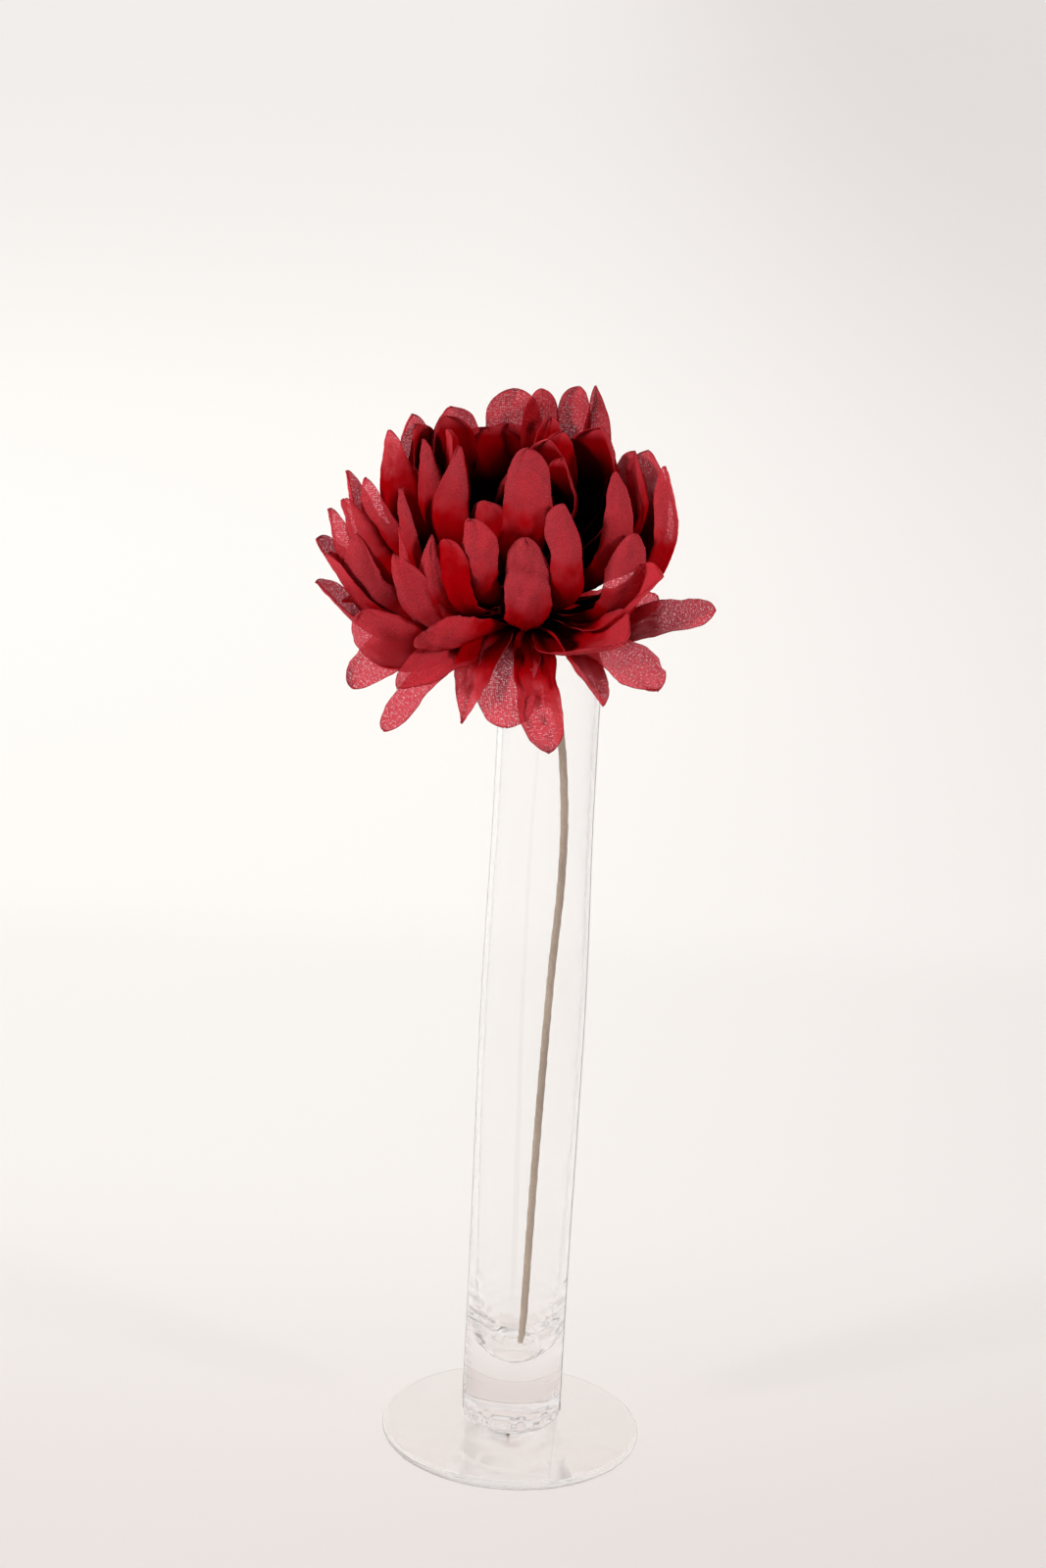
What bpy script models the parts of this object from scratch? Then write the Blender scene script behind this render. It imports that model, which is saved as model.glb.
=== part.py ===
"""Silk chrysanthemum standing in a clear glass bud vase.

Metres, +Z up. The origin is the middle of the vase's flat underside, on the axis of the vase.
Headings are degrees round +Z: 0 is +X, 90 is +Y (the far side), 270 is the near side.
Three pieces: the glass vase, the taped wire stem in it, and the cloth bloom on the stem.
"""
import math
import random

import bmesh
import bpy
from mathutils import Vector

MM = 0.001

# Vase: a turned shape, given by its driving sizes
VASE_HEIGHT = 255.0 * MM
FOOT_RADIUS = 39.2 * MM
FOOT_EDGE_THICKNESS = 2.6 * MM       # at the rim of the disc
FOOT_MIDDLE_THICKNESS = 6.0 * MM     # where the disc meets the tube
TUBE_RADIUS_LOW = 15.0 * MM
TUBE_RADIUS_SWELL = 15.55 * MM       # hand-made swell a little above half height
TUBE_RADIUS_TOP = 14.75 * MM
SWELL_HEIGHT = 142.0 * MM
TOP_STRAIGHT_FROM = 205.0 * MM       # the tube keeps its top radius from here up
WALL_TOP = 1.5 * MM
WALL_LOW = 2.6 * MM                  # the wall thickens towards the solid bottom
BORE_FLOOR = 27.0 * MM               # lowest point of the round-ended bore
VASE_SIDES = 40

# Stem: wire wrapped in paper tape, led by points chosen by hand
STEM_RADIUS = 1.15 * MM
CLEARANCE = 0.3 * MM
STEM_SIDES_SETTING = 2               # bevel resolution of the curve
STEM_STEPS = 5                       # points between two route points
STEM_ROUTE_MM = (
    (2.2, -1.0, 28.9),
    (2.6, -1.5, 60.0),
    (3.4, -2.5, 102.0),
    (4.7, -4.2, 150.0),
    (6.1, -5.4, 180.0),
    (5.7, -6.7, 205.0),
    (3.0, -7.6, 229.0),
    (-2.2, -7.6, 243.0),
)

# Flower head: its axis leans towards the near left, as the end of the stem does
HUB_FOOT = Vector((-8.3, -10.7, 260.0)) * MM
HUB_LEAN = 20.0
HUB_HEADING = 235.0
HUB_BELOW = 2.6 * MM                 # calyx under the lowest petals
HUB_ABOVE = 19.0 * MM
HUB_RADIUS = 7.0 * MM
SOCKET_DEPTH = 7.0 * MM
TIER_STEP = 3.0 * MM                 # height between two tiers along the axis
ROOT_RADIUS = {1: 3.0, 2: 3.5, 3: 3.5, 4: 3.0, 5: 2.5, 6: 1.5}   # mm from the axis
PETAL_THICKNESS = 0.75 * MM
CLAW = 0.24                          # width at the root as a share of the full width
BROAD_FROM = 19                      # petals this wide (mm) get one more strip across
PLACED_SHARES = (0.0, 0.25, 0.48, 0.68, 0.88, 1.0)   # stations along a petal
RULED_SHARES = (0.0, 0.3, 0.65, 0.9, 1.0)
TIER, WIDTH = 0, 6                   # where the tier and the width stand in a petal's line
OPEN_TIERS = 4                       # tiers seen along their whole length

# Petals of the near side and the outline, placed by hand, one line each:
# tier, heading, rise at the root, rise at the tip, where it bends (0 to 1), length mm,
# width mm, cup, twist, point (0 round to 1 pointed). Angles are degrees.
PLACED_PETALS = (
    # lowest tier, spread flat or drooping
    (1, 340, 0, 25, 0.5, 55, 15, 40, 40, 0.1),
    (1, 33, 0, 5, 0.5, 43, 14, 25, 30, 0.4),
    (1, 316, 5, -20, 0.4, 50, 16, 15, 10, 0.1),
    (1, 304, 5, -35, 0.4, 42, 13, 40, -20, 0.8),
    (1, 284, 10, -60, 0.35, 51, 12, 25, 0, 0.3),
    (1, 265, 10, -55, 0.35, 43, 16, 15, 0, 0.0),
    (1, 247, 5, -50, 0.4, 46, 12, 50, 0, 1.0),
    (1, 222, -15, -30, 0.5, 55, 12, 30, -25, 0.0),
    (1, 228, -10, -15, 0.5, 50, 15, 35, -30, 0.3),
    (1, 201, 5, -45, 0.5, 54, 14, 25, -40, 0.3),
    # second tier, out and then up
    (2, 214, -5, 50, 0.7, 58, 24, 55, 45, 0.5),
    (2, 188, -10, 35, 0.6, 60, 15, 50, 30, 0.2),
    (2, 195, -10, 52, 0.55, 60, 18, 60, 20, 0.4),
    (2, 178, -5, 40, 0.5, 61, 16, 35, -35, 0.2),
    (2, 203, -10, 65, 0.5, 65, 20, 60, 10, 0.7),
    (2, 218, -10, 65, 0.5, 60, 22, 60, 10, 0.7),
    (2, 237, -10, 15, 0.5, 48, 17, 30, 45, 0.1),
    (2, 267, -5, 100, 0.5, 50, 18, 40, 0, 0.2),
    (2, 302, -5, 20, 0.5, 51, 20, 35, 20, 0.5),
    (2, 324, 5, 35, 0.5, 47, 18, 45, 20, 0.0),
    # third tier
    (3, 185, 0, 50, 0.5, 63, 18, 60, 25, 0.8),
    (3, 199, 5, 60, 0.5, 64, 18, 60, 20, 0.8),
    (3, 187, 15, 60, 0.5, 64, 18, 60, -30, 0.6),
    (3, 293, 10, 100, 0.5, 52, 18, 90, 0, 0.3),
    (3, 317, 0, 75, 0.5, 52, 19, 50, -10, 0.5),
    (3, -6, 15, 90, 0.5, 63, 17, 70, -20, 0.7),
    (3, 22, 20, 85, 0.5, 61, 18, 50, 20, 0.4),
    (3, 95, 40, 85, 0.5, 65, 19, 25, 0, 0.0),
    # fourth tier, nearly upright
    (4, 199, 10, 65, 0.5, 60, 17, 60, 10, 0.7),
    (4, 182, 20, 80, 0.5, 64, 18, 65, 20, 0.8),
    (4, 158, 30, 75, 0.5, 61, 16, 45, -20, 0.3),
    (4, 139, 40, 75, 0.5, 58, 16, 45, 0, 0.1),
    (4, 224, -5, 70, 0.5, 47, 13, 55, 20, 0.9),
    (4, 214, -10, 65, 0.5, 48, 10, 55, 0, 0.9),
    (4, 231, -10, 75, 0.5, 45, 18, 50, 0, 0.0),
    (4, 240, -5, 95, 0.5, 47, 17, 80, 0, 0.4),
    (4, 265, 30, 90, 0.4, 55, 17, 40, 0, 0.3),
    (4, 315, 20, 90, 0.5, 53, 19, 50, -10, 0.8),
    (4, 52, 45, 85, 0.5, 64, 17, 45, -20, 0.9),
    (4, 68, 45, 85, 0.5, 63, 15, 40, 0, 0.6),
    (4, 75, 40, 85, 0.5, 54, 9, 30, 0, 0.1),
    # fifth and sixth tiers, curling in over the heart
    (5, 206, 25, 85, 0.5, 57, 18, 75, -10, 0.7),
    (5, 221, 25, 95, 0.5, 54, 17, 60, -15, 0.9),
    (5, 203, 0, 75, 0.5, 53, 14, 60, 0, 0.9),
    (5, 36, 25, 105, 0.5, 55, 22, 75, 10, 0.0),
    (5, 119, 25, 125, 0.6, 54, 20, 55, 0, 0.1),
    (6, 141, 25, 120, 0.6, 47, 18, 55, 0, 0.1),
    (6, 59, 40, 140, 0.6, 46, 18, 55, 0, 0.1),
)

# Petals of the far side and the heart, which follow a rule in each tier:
# tier, how many, first heading, last heading, rise at the root, rise at the tip,
# length mm, width mm, cup
RULED_PETALS = (
    (1, 5, 66, 176, 12, -4, 50, 15, 30),
    (2, 6, 10, 152, 14, 42, 52, 16, 40),
    (3, 4, 55, 162, 30, 66, 52, 17, 45),
    (4, 3, 5, 118, 42, 88, 50, 16, 50),
    (5, 3, 88, 345, 48, 110, 42, 15, 55),
    (6, 3, 10, 290, 62, 118, 28, 12, 60),
)
RULE_SEED = 12


def remove_everything():
    """Start from an empty file."""
    for thing in list(bpy.data.objects):
        bpy.data.objects.remove(thing, do_unlink=True)


def plain_material(name, colour, roughness, transmission=0.0):
    """A Principled material with one colour."""
    material = bpy.data.materials.new(name)
    material.use_nodes = True
    shader = material.node_tree.nodes["Principled BSDF"]
    shader.inputs["Base Color"].default_value = (*colour, 1.0)
    shader.inputs["Roughness"].default_value = roughness
    shader.inputs["Metallic"].default_value = 0.0
    shader.inputs["Transmission Weight"].default_value = transmission
    return material


def new_object(name, mesh, material=None):
    """An object in the scene, with its material."""
    thing = bpy.data.objects.new(name, mesh)
    bpy.context.scene.collection.objects.link(thing)
    if material is not None:
        mesh.materials.append(material)
    return thing


def ease(t):
    """Smooth step from 0 to 1."""
    t = min(max(t, 0.0), 1.0)
    return t * t * (3.0 - 2.0 * t)


def turned_mesh(name, profile, sides):
    """Turn a profile of (radius, height), from the axis back to the axis, into a closed mesh."""
    bm = bmesh.new()
    rings = []
    for radius, height in profile:
        if radius == 0.0:
            rings.append([bm.verts.new((0.0, 0.0, height))])
            continue
        ring = []
        for k in range(sides):
            angle = math.tau * k / sides
            ring.append(bm.verts.new((radius * math.cos(angle), radius * math.sin(angle), height)))
        rings.append(ring)
    for low, high in zip(rings, rings[1:]):
        for k in range(sides):
            n = (k + 1) % sides
            if len(low) == 1:
                bm.faces.new((low[0], high[n], high[k]))
            elif len(high) == 1:
                bm.faces.new((low[k], low[n], high[0]))
            else:
                bm.faces.new((low[k], low[n], high[n], high[k]))
    bmesh.ops.recalc_face_normals(bm, faces=bm.faces)
    mesh = bpy.data.meshes.new(name)
    bm.to_mesh(mesh)
    bm.free()
    return mesh


def arc(centre_r, centre_z, radius_r, radius_z, start, end, steps):
    """Points of an elliptical arc in a profile, angles in degrees from the outward direction."""
    points = []
    for k in range(steps + 1):
        angle = math.radians(start + (end - start) * k / steps)
        points.append((centre_r + radius_r * math.cos(angle), centre_z + radius_z * math.sin(angle)))
    return points


def tube_radius(height):
    """Outer radius of the tube: straight, a slight swell, then a slightly narrower top."""
    if height < SWELL_HEIGHT:
        share = ease((height - 0.35 * SWELL_HEIGHT) / (0.65 * SWELL_HEIGHT))
        return TUBE_RADIUS_LOW + (TUBE_RADIUS_SWELL - TUBE_RADIUS_LOW) * share
    share = ease((height - SWELL_HEIGHT) / (TOP_STRAIGHT_FROM - SWELL_HEIGHT))
    return TUBE_RADIUS_SWELL + (TUBE_RADIUS_TOP - TUBE_RADIUS_SWELL) * share


def wall(height):
    """Wall thickness of the tube at a height."""
    share = ease((height - BORE_FLOOR) / (0.35 * VASE_HEIGHT))
    return WALL_LOW + (WALL_TOP - WALL_LOW) * share


def build_vase(material):
    """Disc foot, solid plug and round-bottomed tube, all one piece of glass."""
    edge = FOOT_EDGE_THICKNESS / 2
    tube_foot = FOOT_MIDDLE_THICKNESS
    corner = 2.2 * MM
    profile = [(0.0, 0.0)]
    profile += arc(FOOT_RADIUS - edge, edge, edge, edge, -90, 90, 4)
    profile.append((TUBE_RADIUS_LOW + 1.0 * MM, tube_foot - 1.2 * MM))
    profile.append((TUBE_RADIUS_LOW - corner, tube_foot - 0.6 * MM))
    profile += arc(TUBE_RADIUS_LOW - corner, tube_foot + corner, corner, corner, -60, 0, 3)
    outside = [0.10, 0.20, 0.38, 0.56, 0.66, 0.74, 0.82]
    profile += [(tube_radius(t * VASE_HEIGHT), t * VASE_HEIGHT) for t in outside]
    lip = WALL_TOP / 2
    profile += arc(TUBE_RADIUS_TOP - lip, VASE_HEIGHT - lip, lip, lip, 0, 180, 4)
    inside = [0.82, 0.74, 0.66, 0.56, 0.38, 0.26]
    profile += [(tube_radius(t * VASE_HEIGHT) - wall(t * VASE_HEIGHT), t * VASE_HEIGHT) for t in inside]
    bore = TUBE_RADIUS_LOW - WALL_LOW
    profile += arc(0.0, BORE_FLOOR + bore, bore, bore, 0, -75, 5)
    profile.append((0.0, BORE_FLOOR))
    return new_object("vase", turned_mesh("vase", profile, VASE_SIDES), material)


def hub_axis():
    """Unit vector along the flower's axis."""
    lean = math.radians(HUB_LEAN)
    heading = math.radians(HUB_HEADING)
    flat = math.sin(lean)
    return Vector((flat * math.cos(heading), flat * math.sin(heading), math.cos(lean)))


def smooth_points(points, steps):
    """Points along a Catmull-Rom curve through the given ones."""
    ends = [points[0] * 2 - points[1]] + list(points) + [points[-1] * 2 - points[-2]]
    out = []
    for k in range(1, len(ends) - 2):
        a, b, c, d = ends[k - 1], ends[k], ends[k + 1], ends[k + 2]
        for s in range(steps):
            t = s / steps
            out.append(0.5 * (2 * b + (c - a) * t + (2 * a - 5 * b + 4 * c - d) * t ** 2
                              + (3 * b - a - 3 * c + d) * t ** 3))
    out.append(ends[-2])
    return out


def build_stem(material):
    """The wire: it stands on the floor of the bore, bows, leans on the lip and ends in the hub."""
    route = [Vector(p) * MM for p in STEM_ROUTE_MM]
    axis = hub_axis()
    for below in (9.0, 6.5, 4.5):
        route.append(HUB_FOOT - axis * (below * MM))
    route.append(HUB_FOOT + axis * (SOCKET_DEPTH - HUB_BELOW - CLEARANCE))
    curve = bpy.data.curves.new("stem", "CURVE")
    curve.dimensions = "3D"
    curve.bevel_depth = STEM_RADIUS
    curve.bevel_resolution = STEM_SIDES_SETTING
    curve.use_fill_caps = True
    points = smooth_points(route, STEM_STEPS)
    spline = curve.splines.new("POLY")
    spline.points.add(len(points) - 1)
    for point, place in zip(spline.points, points):
        point.co = (*place, 1.0)
    curve.materials.append(material)
    stem = bpy.data.objects.new("stem", curve)
    bpy.context.scene.collection.objects.link(stem)
    return stem


def half_width(share, width, point):
    """Half the width of a petal at a share of its length: claw, widest part, tip."""
    grow = CLAW + (1.0 - CLAW) * ease(share / 0.5)
    t = min(max((share - 0.62) / 0.38, 0.0), 1.0)
    round_tip = math.sqrt(max(0.0, 1.0 - t ** 3))
    sharp_tip = 1.0 - t ** 1.7
    return 0.5 * width * grow * ((1.0 - point) * round_tip + point * sharp_tip)


def petal_line(petal, shares):
    """Middle line of a petal, with its sideways and inward directions, at the given shares."""
    tier, heading, rise_root, rise_tip, bend, length, width, cup, twist, point = petal
    out = Vector((math.cos(math.radians(heading)), math.sin(math.radians(heading)), 0.0))
    side = Vector((-out.y, out.x, 0.0))
    place = HUB_FOOT + hub_axis() * (TIER_STEP * (tier - 1)) + out * (ROOT_RADIUS[tier] * MM)
    fine = 48
    line = []
    wanted = [round(s * fine) for s in shares]
    for k in range(fine + 1):
        share = k / fine
        rise = math.radians(rise_root + (rise_tip - rise_root) * ease((share - bend + 0.35) / 0.7))
        along = out * math.cos(rise) + Vector((0.0, 0.0, math.sin(rise)))
        if k in wanted:
            inward = along.cross(side)
            turn = math.radians(twist) * ease(share / 0.6)
            across = side * math.cos(turn) + inward * math.sin(turn)
            normal = inward * math.cos(turn) - side * math.sin(turn)
            line.append((share, place.copy(), across, normal))
        place += along * (length * MM / fine)
    return line


def petal_mesh(petal, shares, columns):
    """A petal as a closed blade: a cupped sheet with an even thickness."""
    width, cup, point = petal[6], petal[7], petal[9]
    half = PETAL_THICKNESS / 2
    bm = bmesh.new()
    tops, bottoms = [], []
    for share, place, across, normal in petal_line(petal, shares):
        reach = max(half_width(share, width, point), 0.9) * MM
        bow = math.radians(cup) * (0.4 + 0.6 * ease(share / 0.3))
        top, bottom = [], []
        for k in range(columns):
            angle = bow * (2.0 * k / (columns - 1) - 1.0)
            spot = place + across * (reach * math.sin(angle) / bow)
            spot += normal * (reach * (1.0 - math.cos(angle)) / bow)
            facing = normal * math.cos(angle) - across * math.sin(angle)
            top.append(bm.verts.new(spot + facing * half))
            bottom.append(bm.verts.new(spot - facing * half))
        tops.append(top)
        bottoms.append(bottom)
    rows = len(tops)
    for i in range(rows - 1):
        for j in range(columns - 1):
            # both faces of the blade are split along the same diagonal
            bm.faces.new((tops[i][j], tops[i + 1][j], tops[i + 1][j + 1]))
            bm.faces.new((tops[i][j], tops[i + 1][j + 1], tops[i][j + 1]))
            bm.faces.new((bottoms[i][j], bottoms[i + 1][j + 1], bottoms[i + 1][j]))
            bm.faces.new((bottoms[i][j], bottoms[i][j + 1], bottoms[i + 1][j + 1]))
    rim = [(i, 0) for i in range(rows)]
    rim += [(rows - 1, j) for j in range(1, columns)]
    rim += [(i, columns - 1) for i in range(rows - 2, -1, -1)]
    rim += [(0, j) for j in range(columns - 2, 0, -1)]
    for (i, j), (p, q) in zip(rim, rim[1:] + rim[:1]):
        bm.faces.new((tops[i][j], bottoms[i][j], bottoms[p][q]))
        bm.faces.new((tops[i][j], bottoms[p][q], tops[p][q]))
    bmesh.ops.recalc_face_normals(bm, faces=bm.faces)
    mesh = bpy.data.meshes.new("petal")
    bm.to_mesh(mesh)
    bm.free()
    return mesh


def ruled_petals():
    """The petals of each tier that follow the rule, with small seeded differences."""
    chance = random.Random(RULE_SEED)
    petals = []
    for tier, count, first, last, rise_root, rise_tip, length, width, cup in RULED_PETALS:
        for k in range(count):
            heading = first + (last - first) * k / (count - 1) + chance.uniform(-5, 5)
            petals.append((
                tier, heading,
                rise_root + chance.uniform(-4, 4), rise_tip + chance.uniform(-6, 6), 0.5,
                length + chance.uniform(-2, 2), width + chance.uniform(-1, 1), cup,
                chance.uniform(-20, 20), chance.uniform(0.1, 0.9),
            ))
    return petals


def hub_mesh():
    """The core that the petals are threaded on, from the calyx up to a domed top."""
    profile = [(0.0, -HUB_BELOW)]
    profile += [(0.75 * HUB_RADIUS, -HUB_BELOW), (HUB_RADIUS, -0.3 * HUB_BELOW)]
    for share in (0.35, 0.65, 0.85, 0.95):
        profile.append((HUB_RADIUS * math.sqrt(1.0 - share ** 2.2), HUB_ABOVE * share))
    profile.append((0.0, HUB_ABOVE))
    return turned_mesh("bloom", profile, 12)


def lay_on_axis(thing, place):
    """Stand an object modelled along +Z on the flower's leaning axis."""
    thing.rotation_mode = "QUATERNION"
    thing.rotation_quaternion = hub_axis().to_track_quat("Z", "Y")
    thing.location = place


def baked_mesh(thing, name):
    """The evaluated mesh of an object, in world space."""
    bpy.context.view_layer.update()
    graph = bpy.context.evaluated_depsgraph_get()
    mesh = bpy.data.meshes.new_from_object(thing.evaluated_get(graph))
    mesh.transform(thing.matrix_world)
    mesh.name = name
    return mesh


def keep_largest_shell(mesh):
    """Fill hollows that the union sealed and drop loose scraps: only the outer shell stays."""
    bm = bmesh.new()
    bm.from_mesh(mesh)
    left = set(bm.faces)
    shells = []
    while left:
        shell = {left.pop()}
        front = list(shell)
        while front:
            for edge in front.pop().edges:
                for face in edge.link_faces:
                    if face in left:
                        left.discard(face)
                        shell.add(face)
                        front.append(face)
        shells.append(shell)
    shells.sort(key=len)
    for shell in shells[:-1]:
        bmesh.ops.delete(bm, geom=list(shell), context="FACES")
    bmesh.ops.triangulate(bm, faces=bm.faces)
    bm.to_mesh(mesh)
    bm.free()


def build_bloom(material):
    """All petals and the hub in one cloth body, with a socket for the stem in its underside."""
    core = new_object("bloom_core", hub_mesh(), material)
    lay_on_axis(core, HUB_FOOT)
    layers = bpy.data.collections.new("petal_layers")
    bpy.context.scene.collection.children.link(layers)
    for petal in PLACED_PETALS:
        columns = 4 if petal[WIDTH] >= BROAD_FROM else 3
        shares = PLACED_SHARES if petal[TIER] <= OPEN_TIERS else RULED_SHARES
        layers.objects.link(bpy.data.objects.new("petal", petal_mesh(petal, shares, columns)))
    for petal in ruled_petals():
        layers.objects.link(bpy.data.objects.new("petal", petal_mesh(petal, RULED_SHARES, 3)))
    join = core.modifiers.new("join petals", "BOOLEAN")
    join.operation = "UNION"
    join.operand_type = "COLLECTION"
    join.collection = layers
    join.solver = "EXACT"
    socket_tool = new_object("socket_tool", turned_mesh("socket_tool", [
        (0.0, -4.0 * MM), (STEM_RADIUS + CLEARANCE, -4.0 * MM),
        (STEM_RADIUS + CLEARANCE, SOCKET_DEPTH), (0.0, SOCKET_DEPTH),
    ], 12))
    lay_on_axis(socket_tool, HUB_FOOT - hub_axis() * HUB_BELOW)
    cut = core.modifiers.new("cut socket", "BOOLEAN")
    cut.operation = "DIFFERENCE"
    cut.object = socket_tool
    cut.solver = "EXACT"
    mesh = baked_mesh(core, "bloom")
    keep_largest_shell(mesh)
    bloom = bpy.data.objects.new("bloom", mesh)
    bpy.context.scene.collection.objects.link(bloom)
    for helper in list(layers.objects) + [core, socket_tool]:
        bpy.data.objects.remove(helper, do_unlink=True)
    bpy.data.collections.remove(layers)
    return bloom


def main():
    remove_everything()
    glass = plain_material("clear_glass", (0.95, 0.96, 0.96), 0.03, 1.0)
    tape = plain_material("stem_tape", (0.33, 0.29, 0.23), 0.75)
    cloth = plain_material("crimson_cloth", (0.38, 0.02, 0.03), 0.6)
    vase = build_vase(glass)
    for polygon in vase.data.polygons:
        polygon.use_smooth = True
    vase.data.set_sharp_from_angle(angle=math.radians(40))
    build_stem(tape)
    build_bloom(cloth)


main()
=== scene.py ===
# %% [markdown]
# A cloth chrysanthemum in a clear glass bud vase.
# The solids of the vase, the stem and the bloom come first, as a fixed frame. This lesson dresses them:
# fine cloth petals, a stem wound with tape, and clear glass that bends what stands behind it.

# %% Load the solids
import math
import random
from collections import namedtuple

import bmesh
import bpy
from mathutils import Matrix, Vector


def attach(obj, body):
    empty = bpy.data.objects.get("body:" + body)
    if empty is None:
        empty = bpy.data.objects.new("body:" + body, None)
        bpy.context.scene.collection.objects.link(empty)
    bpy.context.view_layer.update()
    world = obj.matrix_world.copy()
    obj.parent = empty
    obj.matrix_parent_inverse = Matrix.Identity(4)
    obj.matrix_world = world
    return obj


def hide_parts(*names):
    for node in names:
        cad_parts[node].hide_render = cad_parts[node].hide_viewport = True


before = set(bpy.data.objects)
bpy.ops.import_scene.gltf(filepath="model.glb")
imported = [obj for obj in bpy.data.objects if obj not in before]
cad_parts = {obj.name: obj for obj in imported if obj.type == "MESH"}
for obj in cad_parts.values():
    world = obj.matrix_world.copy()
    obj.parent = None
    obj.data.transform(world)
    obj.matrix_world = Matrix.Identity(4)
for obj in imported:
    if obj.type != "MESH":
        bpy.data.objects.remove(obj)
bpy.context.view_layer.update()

MM = 0.001
print("solids:", sorted(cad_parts))

# %% [markdown]
# The camera is a real one: a place, a tilt down, a small turn of the picture and a focal length.
# They were solved from the foot's two ellipses, so a piece in its real place lands on its own pixel.

# %% Camera
PICTURE_HEIGHT = 1600      # pixels
FOCAL_PIXELS = 3600.0
FILM_HEIGHT_MM = 36.0
CAMERA_PLACE = Vector((-6.4, -978.5, 513.0)) * MM
TILT_DOWN = math.radians(17.3)
PICTURE_TURN = math.radians(3.02)


def placed(name, data):
    """A new object in the scene, at the origin."""
    thing = bpy.data.objects.new(name, data)
    bpy.context.scene.collection.objects.link(thing)
    return thing


def make_camera():
    """A camera whose film is fitted to the height of the picture."""
    forward = Vector((0.0, math.cos(TILT_DOWN), -math.sin(TILT_DOWN)))
    level = Vector((1.0, 0.0, 0.0))
    upright = level.cross(forward)
    right = level * math.cos(PICTURE_TURN) + upright * math.sin(PICTURE_TURN)
    up = upright * math.cos(PICTURE_TURN) - level * math.sin(PICTURE_TURN)
    data = bpy.data.cameras.new("camera")
    data.sensor_fit = "VERTICAL"
    data.sensor_height = FILM_HEIGHT_MM
    data.lens = FOCAL_PIXELS / PICTURE_HEIGHT * FILM_HEIGHT_MM
    data.clip_start = 0.05
    data.clip_end = 40.0
    camera = placed("camera", data)
    turn = Matrix((right, up, -forward)).transposed().to_4x4()
    camera.matrix_world = Matrix.Translation(CAMERA_PLACE) @ turn
    bpy.context.scene.camera = camera
    return camera


camera = make_camera()
print("lens", round(camera.data.lens, 1), "mm")

# %% [markdown]
# Formulas are easier to read than a list of nodes and links. The class below wraps one socket, and Python's
# own operators add Math nodes to its tree. Where a plain number can stand on the left, the operator has its
# reflected form too, so that 1 - mask works.

# %% Wires


def arithmetic(operation, swapped=False):
    """A method that adds one Math node, for a wire that comes first, or second when swapped."""
    def method(wire, other):
        values = (other, wire) if swapped else (wire, other)
        return wire.sheet.maths(operation, *values)
    return method


class Wire:
    """One output socket. Arithmetic on it adds Math nodes to its sheet."""

    def __init__(self, sheet, socket):
        self.sheet = sheet
        self.socket = socket

    __add__ = arithmetic("ADD")
    __radd__ = arithmetic("ADD", swapped=True)
    __sub__ = arithmetic("SUBTRACT")
    __rsub__ = arithmetic("SUBTRACT", swapped=True)
    __mul__ = arithmetic("MULTIPLY")
    __rmul__ = arithmetic("MULTIPLY", swapped=True)
    __truediv__ = arithmetic("DIVIDE")
    __rtruediv__ = arithmetic("DIVIDE", swapped=True)
    __pow__ = arithmetic("POWER")
    __gt__ = arithmetic("GREATER_THAN")
    __lt__ = arithmetic("LESS_THAN")

# %% [markdown]
# A sheet is a whole tree, of a shader or of geometry. Every kind of node comes from one method, which sets
# the node up and then fills its sockets. The other methods give the common ones a short name.

# %% Sheets


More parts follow.
